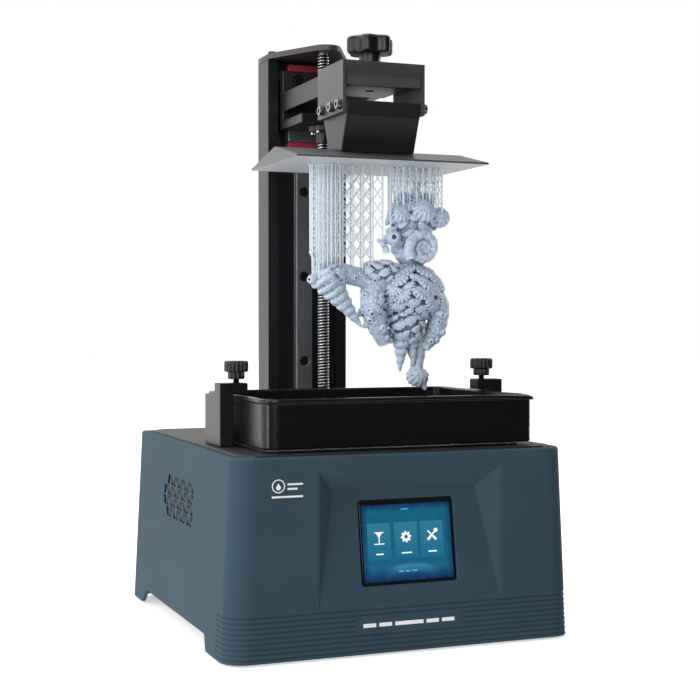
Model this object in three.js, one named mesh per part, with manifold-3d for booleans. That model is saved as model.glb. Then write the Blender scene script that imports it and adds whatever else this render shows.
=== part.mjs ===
// A desktop DLP resin printer: a base that holds the projector and the electronics, a resin vat on
// its top plate, and a Z axis that lifts the build platform with a print hanging from it.
// Millimetres, +Z up. The origin is on the ground under the middle of the base, the front faces -Y
// and +X is to the right of someone who stands in front of the machine.
import * as THREE from "three";
import { mergeVertices } from "three/addons/utils/BufferGeometryUtils.js";
import { ConvexGeometry } from "three/addons/geometries/ConvexGeometry.js";
import Module from "manifold-3d";

const wasm = await Module();
wasm.setup();

// ---- Driving dimensions ----------------------------------------------------------------------

const GAP = 0.3; // clearance between neighbouring pieces
const CUT = 5; // how far a cutting tool runs past the face that it cuts

const SHELL = {
  halfWidth: 111,
  halfDepth: 113.5,
  bottom: 1.5,
  top: 117,
  draft: 6, // how much each side leans in between the ground and the top
  wall: 2.5,
  roof: 4,
  frontRadius: 14,
  rearRadius: 4,
};
const ARCH = { low: 11, front: -71.6, frontTop: -67.4, rearTop: 77, rear: 87 };
const TOP_PLATE = { halfWidth: 100, halfDepth: 108, bottom: 115.5, top: 118, chamfer: 8, ledge: 5 };
const RECESS = {
  x: 2,
  halfWidth: 57.5,
  low: 31,
  high: 108,
  innerHalf: 45.5,
  innerHigh: 95.5,
  depth: 10,
  wall: 2.5, // how far the wall behind the recess reaches past it
  skin: 1.2,
};
const DISPLAY = {
  halfWidth: 30.5,
  halfHeight: 24.85,
  corner: 2,
  z: 65,
  setBack: 0.8,
  glass: 2.2,
  margin: 1, // between the opening and the glass
  board: 1.6,
  boardMargin: 5,
  boardGap: 0.5,
};
const VENT = {
  rear: 43,
  front: -32,
  low: 66.5,
  high: 95.5,
  chamfer: 5,
  setBack: 0.4,
  thickness: 1.8,
  rows: 4,
  columns: 4,
  endRim: 3,
  topRim: 2,
  web: 2.4, // from a slot to the middle of the bar beside it
  slotHalf: 2.2,
};
const FAN = {
  x: -45,
  z: 64,
  size: 60,
  chamfer: 3,
  bore: 28,
  hub: 13,
  front: 96,
  rear: 110.7,
  blades: 7,
  rotorDepth: 10,
  spoke: 1.5,
  web: 2,
};
const GRILLE = { setBack: 0.3, thickness: 1.9, pitch: 7, half: 2, rim: 4, rows: 7 };
const POWER = { x: 60, inletZ: 30, switchZ: 55, rear: 113.2 };
const INLET = { halfWidth: 7, halfHeight: 6, depth: 13, socket: 3.6, pin: 1.1 };
const SWITCH = { halfWidth: 11, halfHeight: 7.5, depth: 14, wellHalf: 9.4, wellHigh: 6, well: 8.4 };
const ROCKER = { halfWidth: 8.5, halfHeight: 5.7, back: 3, end: 0.8, middle: -0.4, pivot: 3.2, tilt: 10 };
const USB = { y: -60, z: 45, halfWidth: 7, halfHeight: 3.6, depth: 14, sheet: 0.8, tongueHalf: 5.4 };
const WINDOW = { x: 66, front: -90, rear: -12, thickness: 1.4, ledge: 6 };
const FLOOR = { halfWidth: 107.2, halfDepth: 110.5, low: 12, high: 13.5, frontRadius: 11, rearRadius: 2 };
const FOOT = { radius: 9, x: 88, y: 94 };
const BOARD = { x: [-10, 90], y: [58, 92], z: 20, thickness: 1.6, standoff: 3, inset: 5 };
const LIGHT = { y: -51, z: 40 }; // where the light turns upwards
const MIRROR = { half: 35, low: 19, high: 61, thickness: 3, mountFront: -80, mountHalf: 30 };
const PROJECTOR = {
  halfWidth: 32,
  front: -10,
  rear: 52,
  low: 22,
  high: 58,
  barrel: 15,
  barrelFront: -26,
  bore: 12,
};
const LENS = { radius: 11.5, edge: 3, middle: 7, rear: -16 };

const COLUMN = { halfWidth: 28.6, wing: 7, front: 59, rear: 81, web: 8, top: 373 };
const CAP = { thickness: 4, step: 2, nose: { halfWidth: 8, rear: 17, control: 9 } };
const CAP_SCREW = { inset: 4.1, y: 62, head: 3, shank: 1.5, rise: 6 };
const RAIL = { halfWidth: 6, front: 65, rear: 72.7, low: 122, high: 370 };
const RAIL_SCREW = {
  count: 4,
  pitch: 59,
  lowest: 166,
  head: 3,
  headFront: 0.6, // how far the head lies behind the face of the rail
  headRear: 3.7,
  shank: 1.5,
  counterbore: 3.3,
  depth: 4,
  hole: 1.9,
};
const SCREW = { y: 28, radius: 4, low: 105, high: 372.7, journal: 3, journalHigh: 376.4 };
const MOTOR = { half: 21.15, low: 75, high: 115.2, chamfer: 4 };
const LIMIT = { x: 17.7, half: 3, front: 62, low: 150, high: 162, slotHalf: 1.2, slotRear: 69, flag: 0.6 };
const BLOCK = { halfWidth: 13.5, front: 60, rear: 70, low: 318, high: 366, cap: 5, slot: 6.3 };
const ARM = {
  halfWidth: 20,
  back: 59.7,
  plate: 53,
  low: 325,
  high: 365,
  bar: 6.5,
  barLow: 337,
  barHigh: 350,
  shelf: 6,
  shelfFront: 15,
};
const NUT = { flange: 10.5, thickness: 3.7, body: 5.2, low: 313, high: 336 };
const FLAG = { offset: 0.1, rear: 67.5, low: 322, high: 334 };
const TONGUE = { halfWidth: 19.5, front: -70, rear: -30, low: 336, high: 347.7, bore: 2.5, boreDepth: 3 };
const BRACKET = {
  inner: 24.4,
  outer: 26.8,
  front: -77,
  rear: -34,
  low: 319,
  high: 350,
  sheet: 2.3,
  window: 335.5, // the front is open below this height
};
const NECK = { halfWidth: 24, front: -76, rear: -37, taper: 10, low: 294, bend: 317.6, high: 326.5 };
const PLATE = { halfWidth: 62, front: -94, rear: -8, ridge: -54, low: 289, edge: 290.2, high: 299 };
const KNOB = {
  y: -54,
  radius: 13.2,
  lobe: 1.8,
  lobes: 6,
  low: 358.3,
  high: 369.2,
  stem: 6.7,
  screw: 3.8,
  screwHole: 4.3,
  screwHigh: 360.8,
};

const VAT = { halfWidth: 83.5, front: -99.5, rear: 18.5, wall: 3.5, low: 119.9, high: 149, radius: 9 };
const LIP = { out: 1.4, low: 146.6 };
const SPOUT = { x: 90.3, radius: 6, rear: -82, start: 55, end: -68 };
const FILM = { low: 119.3, thickness: 0.3, inset: 1.5 };
const FILM_RING = { low: 118.3, high: 119, inset: 0.5, width: 5 };
const CLAMP = {
  inner: 86.3,
  outer: 95,
  tip: 77.5,
  front: -49,
  middle: -37,
  rear: -16,
  shelf: 150,
  high: 156.4,
};
const THUMB = { x: 83, y: -43, radius: 6.9, lobe: 0.4, lobes: 12, low: 163, high: 169.7 };
const THUMB_STEM = { neck: 5.4, neckLow: 157.9, radius: 1.9, tip: 149.3 };

// ---- Materials -------------------------------------------------------------------------------

const finish = (color, roughness, metalness = 0) => ({ color, roughness, metalness });
const SHELL_PAINT = finish(0x3d5262, 0.5);
const DARK_PAINT = finish(0x1b1c1f, 0.45, 0.3);
const BLACK_PLASTIC = finish(0x141415, 0.4);
const GREY_PLASTIC = finish(0x2c2e31, 0.6);
const RUBBER = finish(0x101010, 0.9);
const STEEL = finish(0xb9bcc0, 0.3, 1);
const BLACK_STEEL = finish(0x2a2b2d, 0.4, 0.8);
const ALUMINIUM = finish(0xa7a9ad, 0.4, 1);
const BLACK_ALUMINIUM = finish(0x232427, 0.5, 0.7);
const CRIMSON = finish(0x8a1f2e, 0.5);
const GLASS = finish(0x1a2733, 0.05);
const BOARD_GREEN = finish(0x1f4d33, 0.6);
const SCREEN_BLUE = finish(0x1f6f9a, 0.2);
const FILM_CLEAR = finish(0xc9d3d8, 0.1);
const RESIN = finish(0xa5b4cd, 0.45);

// ---- Solids ----------------------------------------------------------------------------------

// A closed three.js geometry as a manifold-3d solid.
function solid(geometry) {
  const bare = geometry.index ? geometry.toNonIndexed() : geometry.clone();
  bare.deleteAttribute("normal");
  bare.deleteAttribute("uv");
  const merged = mergeVertices(bare, 1e-4);
  return new wasm.Manifold(
    new wasm.Mesh({
      numProp: 3,
      vertProperties: merged.attributes.position.array,
      triVerts: new Uint32Array(merged.index.array),
    }),
  );
}

// A box between the low and high values of each axis.
function box([x0, x1], [y0, y1], [z0, z1]) {
  const geometry = new THREE.BoxGeometry(x1 - x0, y1 - y0, z1 - z0);
  return solid(geometry.translate((x0 + x1) / 2, (y0 + y1) / 2, (z0 + z1) / 2));
}

const polygon = (points) => new THREE.Shape(points.map(([a, b]) => new THREE.Vector2(a, b)));

// The outline of a rectangle with one corner radius at its low-b side and one at its high-b side.
function roundedRectangle([a0, a1], [b0, b1], lowRadius, highRadius = lowRadius) {
  const shape = new THREE.Shape();
  shape.absarc(a0 + lowRadius, b0 + lowRadius, lowRadius, Math.PI, 1.5 * Math.PI);
  shape.absarc(a1 - lowRadius, b0 + lowRadius, lowRadius, 1.5 * Math.PI, 2 * Math.PI);
  shape.absarc(a1 - highRadius, b1 - highRadius, highRadius, 0, 0.5 * Math.PI);
  shape.absarc(a0 + highRadius, b1 - highRadius, highRadius, 0.5 * Math.PI, Math.PI);
  return shape;
}

// The outline of a rectangle with its four corners cut off.
function chamferedRectangle([a0, a1], [b0, b1], c) {
  return polygon([
    [a0 + c, b0],
    [a1 - c, b0],
    [a1, b0 + c],
    [a1, b1 - c],
    [a1 - c, b1],
    [a0 + c, b1],
    [a0, b1 - c],
    [a0, b0 + c],
  ]);
}

const extruded = (shape, depth, curveSegments = 4) =>
  new THREE.ExtrudeGeometry(shape, { depth, bevelEnabled: false, curveSegments });

// Prisms: an XY outline along Z, a YZ outline along X and an XZ outline along Y.
const prismZ = (shape, [z0, z1], segments) => solid(extruded(shape, z1 - z0, segments).translate(0, 0, z0));

function prismX(shape, [x0, x1], segments) {
  const turn = new THREE.Matrix4().makeBasis(
    new THREE.Vector3(0, 1, 0),
    new THREE.Vector3(0, 0, 1),
    new THREE.Vector3(1, 0, 0),
  );
  return solid(extruded(shape, x1 - x0, segments).applyMatrix4(turn).translate(x0, 0, 0));
}

function prismY(shape, [y0, y1], segments) {
  return solid(extruded(shape, y1 - y0, segments).rotateX(Math.PI / 2).translate(0, y1, 0));
}

// A round bar along an axis; centre holds its place on the other two axes, in X, Y, Z order.
function bar(radius, axis, [low, high], centre, sides = 20) {
  const geometry = new THREE.CylinderGeometry(radius, radius, high - low, sides);
  const middle = (low + high) / 2;
  if (axis === "x") geometry.rotateZ(Math.PI / 2).translate(middle, ...centre);
  if (axis === "y") geometry.translate(centre[0], middle, centre[1]);
  if (axis === "z") geometry.rotateX(Math.PI / 2).translate(...centre, middle);
  return solid(geometry);
}

const hull = (points) => solid(new ConvexGeometry(points.map((p) => new THREE.Vector3(...p))));
const joined = (...solids) => solids.reduce((sum, next) => sum.add(next));

// A solid with its vertices moved by a function of their place.
function reshaped(geometry, move) {
  const position = geometry.attributes.position;
  const vertex = new THREE.Vector3();
  for (let i = 0; i < position.count; i++) {
    vertex.fromBufferAttribute(position, i);
    move(vertex);
    position.setXYZ(i, vertex.x, vertex.y, vertex.z);
  }
  return solid(geometry);
}

// The sides of the base lean in towards the top, so X shrinks with height.
const lean = (z) => 1 - (SHELL.draft / SHELL.halfWidth) * (z / SHELL.top);
const leaned = (vertex) => {
  vertex.x *= lean(vertex.z);
};

const printer = new THREE.Group();

// Adds one named piece to the printer, or to a group inside it.
function piece(name, body, { color, roughness, metalness }, parent = printer) {
  const { vertProperties, triVerts } = body.getMesh();
  const geometry = new THREE.BufferGeometry();
  geometry.setAttribute("position", new THREE.BufferAttribute(vertProperties, 3));
  geometry.setIndex(new THREE.BufferAttribute(triVerts, 1));
  geometry.computeVertexNormals();
  const mesh = new THREE.Mesh(geometry, new THREE.MeshStandardMaterial({ color, roughness, metalness }));
  mesh.name = name;
  parent.add(mesh);
  return mesh;
}

const ordered = (a, b) => (a < b ? [a, b] : [b, a]);
const bothWays = (half) => [-half, half];

// ---- Base: shell, plates and feet ---------------------------------------------------------------

const basePlan = (inset) =>
  roundedRectangle(
    bothWays(SHELL.halfWidth - inset),
    bothWays(SHELL.halfDepth - inset),
    SHELL.frontRadius - inset,
    Math.max(SHELL.rearRadius - inset, 1),
  );

const leanedPrism = (shape, [z0, z1]) => reshaped(extruded(shape, z1 - z0).translate(0, 0, z0), leaned);

// The wedge that is cut out of the front round the display: deep at the top, flush at the bottom.
function recessWedge(grow, back) {
  const { x, halfWidth, low, high, innerHalf, innerHigh, depth } = RECESS;
  const face = -SHELL.halfDepth + back;
  const points = [];
  for (const side of [-1, 1]) {
    points.push([x + side * (halfWidth + grow), face, low - grow]);
    points.push([x + side * (halfWidth + grow), face, high + grow]);
    points.push([x + side * (innerHalf + grow), face + depth + back, innerHigh + grow]);
    if (back === 0) {
      points.push([x + side * halfWidth, face - CUT, low]);
      points.push([x + side * halfWidth, face - CUT, high]);
    }
  }
  return hull(points);
}

// The display's own frame: its origin on the slope of the recess, +Y into the machine.
const displaySlope = Math.atan2(RECESS.depth, RECESS.innerHigh - RECESS.low);
const displayFrame = new THREE.Group();
displayFrame.position.set(
  RECESS.x,
  -SHELL.halfDepth + RECESS.depth * ((DISPLAY.z - RECESS.low) / (RECESS.innerHigh - RECESS.low)),
  DISPLAY.z,
);
displayFrame.rotation.x = -displaySlope;
displayFrame.updateMatrix();
printer.add(displayFrame);

const ventOutline = (inset) =>
  chamferedRectangle(
    [VENT.front + inset, VENT.rear - inset],
    [VENT.low + inset, VENT.high - inset],
    VENT.chamfer,
  );

function baseShell() {
  const { halfWidth, halfDepth, bottom, top, wall, roof } = SHELL;
  let shell = leanedPrism(basePlan(0), [bottom, top]);
  shell = shell.subtract(leanedPrism(basePlan(wall), [bottom - CUT, top - roof]));
  shell = shell.add(recessWedge(RECESS.wall, RECESS.skin)).subtract(recessWedge(0, 0));

  const opening = extruded(
    roundedRectangle(bothWays(DISPLAY.halfWidth), bothWays(DISPLAY.halfHeight), DISPLAY.corner),
    4 * CUT,
  );
  opening.rotateX(Math.PI / 2).translate(0, 2 * CUT, 0).applyMatrix4(displayFrame.matrix);
  shell = shell.subtract(solid(opening));

  const seat = chamferedRectangle(
    bothWays(TOP_PLATE.halfWidth + GAP),
    bothWays(TOP_PLATE.halfDepth + GAP),
    TOP_PLATE.chamfer,
  );
  const plateEdge = TOP_PLATE.ledge;
  shell = shell.subtract(prismZ(seat, [TOP_PLATE.bottom - GAP, top + CUT]));
  shell = shell.subtract(
    box(
      bothWays(TOP_PLATE.halfWidth - plateEdge),
      bothWays(TOP_PLATE.halfDepth - plateEdge),
      [top - roof - CUT, top + CUT],
    ),
  );

  const arch = polygon([
    [ARCH.front, -CUT],
    [ARCH.rear, -CUT],
    [ARCH.rear, bottom],
    [ARCH.rearTop, ARCH.low],
    [ARCH.frontTop, ARCH.low],
    [ARCH.front, bottom],
  ]);
  shell = shell.subtract(prismX(arch, bothWays(halfWidth + CUT)));

  shell = shell.subtract(prismX(ventOutline(0), [-halfWidth - CUT, -halfWidth + 4 * CUT]));
  const rearWall = [halfDepth - 2 * CUT, halfDepth + CUT];
  shell = shell.subtract(bar(FAN.bore, "y", rearWall, [FAN.x, FAN.z], 28));
  const sockets = [
    [INLET, POWER.inletZ],
    [SWITCH, POWER.switchZ],
  ];
  for (const [{ halfWidth: halfX, halfHeight: halfZ }, z] of sockets) {
    const across = [POWER.x - halfX - GAP, POWER.x + halfX + GAP];
    shell = shell.subtract(box(across, rearWall, [z - halfZ - GAP, z + halfZ + GAP]));
  }
  shell = shell.subtract(
    box(
      [halfWidth - 4 * CUT, halfWidth + CUT],
      [USB.y - USB.halfWidth - GAP, USB.y + USB.halfWidth + GAP],
      [USB.z - USB.halfHeight - GAP, USB.z + USB.halfHeight + GAP],
    ),
  );
  return shell;
}

function topPlate() {
  const { halfWidth, halfDepth, bottom, top, chamfer } = TOP_PLATE;
  let plate = prismZ(chamferedRectangle(bothWays(halfWidth), bothWays(halfDepth), chamfer), [bottom, top]);
  plate = plate.subtract(
    box(
      bothWays(WINDOW.x - WINDOW.ledge),
      [WINDOW.front + WINDOW.ledge, WINDOW.rear - WINDOW.ledge],
      [bottom - CUT, top + CUT],
    ),
  );
  plate = plate.subtract(
    box(
      bothWays(WINDOW.x + GAP),
      [WINDOW.front - GAP, WINDOW.rear + GAP],
      [top - WINDOW.thickness - GAP, top + CUT],
    ),
  );
  return plate.subtract(bar(SCREW.radius + 1, "z", [bottom - CUT, top + CUT], [0, SCREW.y]));
}

function bottomPlate() {
  const plan = roundedRectangle(
    bothWays(FLOOR.halfWidth),
    bothWays(FLOOR.halfDepth),
    FLOOR.frontRadius,
    FLOOR.rearRadius,
  );
  let plate = prismZ(plan, [FLOOR.low, FLOOR.high]);
  for (const x of [BOARD.x[0] + BOARD.inset, BOARD.x[1] - BOARD.inset]) {
    for (const y of [BOARD.y[0] + BOARD.inset, BOARD.y[1] - BOARD.inset]) {
      plate = plate.add(bar(BOARD.standoff, "z", [FLOOR.low, BOARD.z - GAP], [x, y], 8));
    }
  }
  return plate;
}

function sideVent() {
  const outer = SHELL.halfWidth - VENT.setBack;
  const inner = outer - VENT.thickness;
  const panel = extruded(ventOutline(GAP), outer - inner);
  const turn = new THREE.Matrix4().makeBasis(
    new THREE.Vector3(0, 1, 0),
    new THREE.Vector3(0, 0, 1),
    new THREE.Vector3(1, 0, 0),
  );
  let grille = reshaped(panel.applyMatrix4(turn).translate(-outer, 0, 0), leaned);
  const through = [-outer - CUT, -inner + 3 * CUT];
  const pitchY = (VENT.rear - VENT.front - 2 * VENT.endRim) / VENT.columns;
  const pitchZ = (VENT.high - VENT.low - 2 * VENT.topRim) / VENT.rows;
  const half = pitchY / 2 - VENT.web;
  for (let row = 0; row < VENT.rows; row++) {
    for (let column = 0; column < VENT.columns; column++) {
      const y = VENT.front + VENT.endRim + (column + 0.5) * pitchY;
      const z = VENT.low + VENT.topRim + (row + 0.5) * pitchZ;
      const upright = [z - VENT.slotHalf, z + VENT.slotHalf];
      grille = grille.subtract(box(through, [y - half, y + half], upright));
    }
  }
  return grille;
}

piece("base_shell", baseShell(), SHELL_PAINT);
piece("top_plate", topPlate(), DARK_PAINT);
piece("bottom_plate", bottomPlate(), BLACK_STEEL);
piece("side_vent_grille", sideVent(), SHELL_PAINT);
for (const [side, x] of [["left", -FOOT.x], ["right", FOOT.x]]) {
  for (const [end, y] of [["front", -FOOT.y], ["rear", FOOT.y]]) {
    piece(`rubber_foot_${end}_${side}`, bar(FOOT.radius, "z", [0, FLOOR.low - GAP], [x, y], 16), RUBBER);
  }
}

// ---- Touch display ---------------------------------------------------------------------------

function displayPanel(name, grow, back, thickness, material) {
  const halfX = DISPLAY.halfWidth + grow;
  const halfZ = DISPLAY.halfHeight + grow;
  piece(name, box(bothWays(halfX), [back, back + thickness], bothWays(halfZ)), material, displayFrame);
}

const boardBack = DISPLAY.setBack + DISPLAY.glass + DISPLAY.boardGap;
displayPanel("touch_display", -DISPLAY.margin, DISPLAY.setBack, DISPLAY.glass, SCREEN_BLUE);
displayPanel("display_board", DISPLAY.boardMargin, boardBack, DISPLAY.board, BOARD_GREEN);

// ---- Light path: projector, mirror and window --------------------------------------------------

const windowPane = box(bothWays(WINDOW.x), [WINDOW.front, WINDOW.rear], [
  TOP_PLATE.top - WINDOW.thickness,
  TOP_PLATE.top,
]);
piece("light_window", windowPane, GLASS);

function projectorHousing() {
  const { halfWidth, front, rear, low, high, barrel, bore, barrelFront } = PROJECTOR;
  const leg = { inset: 6, radius: 3.5 };
  let housing = box(bothWays(halfWidth), [front, rear], [low, high]);
  housing = housing.add(bar(barrel, "y", [barrelFront, front + 2], [0, LIGHT.z], 24));
  housing = housing.subtract(bar(bore, "y", [barrelFront - CUT, front - 4], [0, LIGHT.z], 24));
  for (const x of bothWays(halfWidth - leg.inset)) {
    for (const y of [front + leg.inset, rear - leg.inset]) {
      housing = housing.add(bar(leg.radius, "z", [FLOOR.high + GAP, low + 1], [x, y], 8));
    }
  }
  return housing;
}

// The lens element is thick in its middle.
function lensElement() {
  const profile = new THREE.Shape();
  profile.moveTo(0, 0);
  profile.lineTo(LENS.radius, 0);
  profile.lineTo(LENS.radius, LENS.edge);
  profile.quadraticCurveTo(LENS.radius * 0.6, LENS.middle - 1, 0, LENS.middle);
  const lathe = new THREE.LatheGeometry(profile.getPoints(4), 24);
  return solid(lathe.rotateX(Math.PI).translate(0, LENS.rear, LIGHT.z));
}

// Mirror and mount meet on a plane that leans 45 degrees, high at the front.
function foldMirror() {
  const { low, high, half, thickness } = MIRROR;
  const sum = LIGHT.y + LIGHT.z;
  const back = thickness * Math.SQRT2;
  const slab = polygon([
    [sum - low, low],
    [sum - high, high],
    [sum - high - back, high],
    [sum - low - back, low],
  ]);
  return prismX(slab, bothWays(half));
}

function mirrorMount() {
  const face = LIGHT.y + LIGHT.z - (MIRROR.thickness + GAP) * Math.SQRT2;
  const low = FLOOR.high + GAP;
  const front = MIRROR.mountFront;
  const wedge = polygon([
    [front, low],
    [face - low, low],
    [front, face - front],
  ]);
  return prismX(wedge, bothWays(MIRROR.mountHalf));
}

piece("projector_housing", projectorHousing(), BLACK_ALUMINIUM);
piece("projector_lens", lensElement(), GLASS);
piece("fold_mirror", foldMirror(), STEEL);
piece("mirror_mount", mirrorMount(), GREY_PLASTIC);

// ---- Electronics, fan and sockets ------------------------------------------------------------

function mainBoard() {
  const { x, y, z, thickness } = BOARD;
  const processor = { x: [10, 34], y: [64, 84], tall: 6 };
  const connector = { x: [x[0] + 2, x[0] + 10], y: [62, 88], tall: 12 };
  const relay = { x: [72, 86], y: [62, 70], tall: 10 };
  const capacitor = { radius: 4, places: [44, 56], y: 70, tall: 14 };
  let board = box(x, y, [z, z + thickness]);
  const top = z + thickness - 0.1;
  for (const part of [processor, connector, relay]) {
    board = board.add(box(part.x, part.y, [top, z + part.tall]));
  }
  for (const along of capacitor.places) {
    board = board.add(bar(capacitor.radius, "z", [top, z + capacitor.tall], [along, capacitor.y], 12));
  }
  return board;
}

function fanFrame() {
  const square = chamferedRectangle(bothWays(FAN.size / 2), bothWays(FAN.size / 2), FAN.chamfer);
  let frame = prismY(square, [FAN.front, FAN.rear]).translate(FAN.x, 0, FAN.z);
  frame = frame.subtract(bar(FAN.bore, "y", [FAN.front - CUT, FAN.rear + CUT], [FAN.x, FAN.z], 28));
  const web = [FAN.front, FAN.front + FAN.web];
  const arm = FAN.bore + 1;
  frame = frame.add(bar(FAN.hub, "y", web, [FAN.x, FAN.z], 20));
  for (const [halfX, halfZ] of [[arm, FAN.spoke], [FAN.spoke, arm]]) {
    frame = frame.add(box([FAN.x - halfX, FAN.x + halfX], web, [FAN.z - halfZ, FAN.z + halfZ]));
  }
  return frame;
}

function fanRotor() {
  const start = FAN.front + FAN.web + 2 * GAP;
  const end = start + FAN.rotorDepth;
  const [root, tip] = [FAN.hub - 2, FAN.bore - 1.6];
  const blade = { thickness: 1.4, chord: 12, pitch: 0.9 };
  let rotor = bar(FAN.hub, "y", [start, end], [FAN.x, FAN.z], 20);
  for (let i = 0; i < FAN.blades; i++) {
    const vane = new THREE.BoxGeometry(tip - root, blade.thickness, blade.chord);
    vane.rotateX(blade.pitch).translate((tip + root) / 2, 0, 0);
    vane.rotateY((i / FAN.blades) * 2 * Math.PI).translate(FAN.x, (start + end) / 2, FAN.z);
    rotor = rotor.add(solid(vane));
  }
  return rotor;
}

function rearGrille() {
  const face = SHELL.halfDepth - GRILLE.setBack;
  const through = [SHELL.halfDepth - CUT, SHELL.halfDepth + CUT];
  let grille = bar(FAN.bore - GAP, "y", [face - GRILLE.thickness, face], [FAN.x, FAN.z], 28);
  for (let row = 0; row < GRILLE.rows; row++) {
    const rise = (row - (GRILLE.rows - 1) / 2) * GRILLE.pitch;
    const edge = Math.abs(rise) + GRILLE.half;
    const half = Math.sqrt((FAN.bore - GRILLE.rim) ** 2 - edge ** 2);
    const upright = [FAN.z + rise - GRILLE.half, FAN.z + rise + GRILLE.half];
    for (const side of [-1, 1]) {
      const ends = ordered(FAN.x + side * FAN.spoke, FAN.x + side * half);
      grille = grille.subtract(box(ends, through, upright));
    }
  }
  return grille;
}

function powerInlet() {
  const { x, inletZ: z, rear } = POWER;
  const { halfWidth, halfHeight, depth, socket, pin } = INLET;
  const upright = [z - halfHeight, z + halfHeight];
  let inlet = box([x - halfWidth, x + halfWidth], [rear - depth, rear], upright);
  inlet = inlet.subtract(bar(socket, "y", [rear - depth + 3, rear + CUT], [x, z], 16));
  return inlet.add(bar(pin, "y", [rear - depth + 2, rear - 1.5], [x, z], 10));
}

function switchHousing() {
  const { x, switchZ: z, rear } = POWER;
  const { halfWidth, halfHeight, depth, wellHalf, wellHigh, well } = SWITCH;
  const upright = [z - halfHeight, z + halfHeight];
  const wellUpright = [z - wellHigh, z + wellHigh];
  const housing = box([x - halfWidth, x + halfWidth], [rear - depth, rear], upright);
  return housing.subtract(box([x - wellHalf, x + wellHalf], [rear - well, rear + CUT], wellUpright));
}

// The rocker is a shallow V that rests with one end pressed in.
function switchRocker() {
  const { halfWidth, halfHeight, back, end, middle, pivot } = ROCKER;
  const outline = polygon([
    [-halfWidth, -back],
    [halfWidth, -back],
    [halfWidth, end],
    [0, middle],
    [-halfWidth, end],
  ]);
  const tilt = THREE.MathUtils.degToRad(ROCKER.tilt);
  const rocker = extruded(outline, 2 * halfHeight).translate(0, 0, -halfHeight).rotateZ(tilt);
  return solid(rocker.translate(POWER.x, POWER.rear - pivot, POWER.switchZ));
}

function usbPort() {
  const outer = SHELL.halfWidth * lean(USB.z) - 0.5;
  const { y, z, halfWidth, halfHeight, depth, sheet, tongueHalf } = USB;
  const [mouthY, mouthZ] = [halfWidth - sheet, halfHeight - sheet];
  const upright = [z - halfHeight, z + halfHeight];
  const port = box([outer - depth, outer], [y - halfWidth, y + halfWidth], upright);
  const mouth = box([outer - depth + 2, outer + CUT], [y - mouthY, y + mouthY], [z - mouthZ, z + mouthZ]);
  const tongue = box([outer - depth + 1, outer - 2], [y - tongueHalf, y + tongueHalf], [z + 0.2, z + 1.8]);
  return port.subtract(mouth).add(tongue);
}

piece("main_board", mainBoard(), BOARD_GREEN);
piece("fan_frame", fanFrame(), BLACK_PLASTIC);
piece("fan_rotor", fanRotor(), BLACK_PLASTIC);
piece("rear_fan_grille", rearGrille(), BLACK_PLASTIC);
piece("power_inlet", powerInlet(), BLACK_PLASTIC);
piece("power_switch_housing", switchHousing(), BLACK_PLASTIC);
piece("power_switch_rocker", switchRocker(), BLACK_PLASTIC);
piece("usb_port", usbPort(), STEEL);

// ---- Z axis: column, rail, motor and screw ------------------------------------------------------

function column() {
  const { halfWidth, wing, front, rear, web, top } = COLUMN;
  const inner = halfWidth - wing;
  const channel = polygon([
    [-halfWidth, front],
    [-inner, front],
    [-inner, rear - web],
    [inner, rear - web],
    [inner, front],
    [halfWidth, front],
    [halfWidth, rear],
    [-halfWidth, rear],
  ]);
  return prismZ(channel, [TOP_PLATE.top + GAP, top]);
}

const capScrewX = COLUMN.halfWidth - CAP_SCREW.inset;

// The cap closes the column and reaches forward over the lead screw, narrowing to a round nose.
function columnCap() {
  const { halfWidth, front, rear, top } = COLUMN;
  const { thickness, step, nose } = CAP;
  const through = [top - CUT, top + 2 * CUT];
  const outline = new THREE.Shape();
  outline.moveTo(-halfWidth, rear);
  outline.lineTo(-halfWidth, front - step);
  outline.lineTo(-nose.halfWidth, nose.rear);
  outline.quadraticCurveTo(0, nose.control, nose.halfWidth, nose.rear);
  outline.lineTo(halfWidth, front - step);
  outline.lineTo(halfWidth, rear);
  let cap = prismZ(outline, [top + GAP, top + thickness]);
  cap = cap.subtract(bar(SCREW.journal + GAP, "z", through, [0, SCREW.y], 16));
  for (const x of bothWays(capScrewX)) {
    cap = cap.subtract(bar(CAP_SCREW.shank + GAP, "z", through, [x, CAP_SCREW.y], 10));
  }
  return cap;
}

const railScrewHeights = [];
for (let i = 0; i < RAIL_SCREW.count; i++) {
  railScrewHeights.push(RAIL_SCREW.lowest + i * RAIL_SCREW.pitch);
}

function rail() {
  let body = box(bothWays(RAIL.halfWidth), [RAIL.front, RAIL.rear], [RAIL.low, RAIL.high]);
  const { counterbore, depth, hole } = RAIL_SCREW;
  for (const z of railScrewHeights) {
    body = body.subtract(bar(counterbore, "y", [RAIL.front - CUT, RAIL.front + depth], [0, z], 14));
    body = body.subtract(bar(hole, "y", [RAIL.front, RAIL.rear + CUT], [0, z], 10));
  }
  return body;
}

function railScrew(z) {
  const { head, headFront, headRear, shank } = RAIL_SCREW;
  const cap = bar(head, "y", [RAIL.front + headFront, RAIL.front + headRear], [0, z], 14);
  return cap.add(bar(shank, "y", [RAIL.front + headRear - 1, RAIL.rear], [0, z], 10));
}

function leadScrew() {
  const shaft = bar(SCREW.radius, "z", [SCREW.low, SCREW.high], [0, SCREW.y], 20);
  return shaft.add(bar(SCREW.journal, "z", [SCREW.high - 1, SCREW.journalHigh], [0, SCREW.y], 16));
}

function motor() {
  const { half, low, high, chamfer } = MOTOR;
  const plan = chamferedRectangle(bothWays(half), [SCREW.y - half, SCREW.y + half], chamfer);
  const body = prismZ(plan, [low, high]);
  return body.subtract(bar(SCREW.radius + GAP, "z", [SCREW.low - 1, high + CUT], [0, SCREW.y], 20));
}

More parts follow.
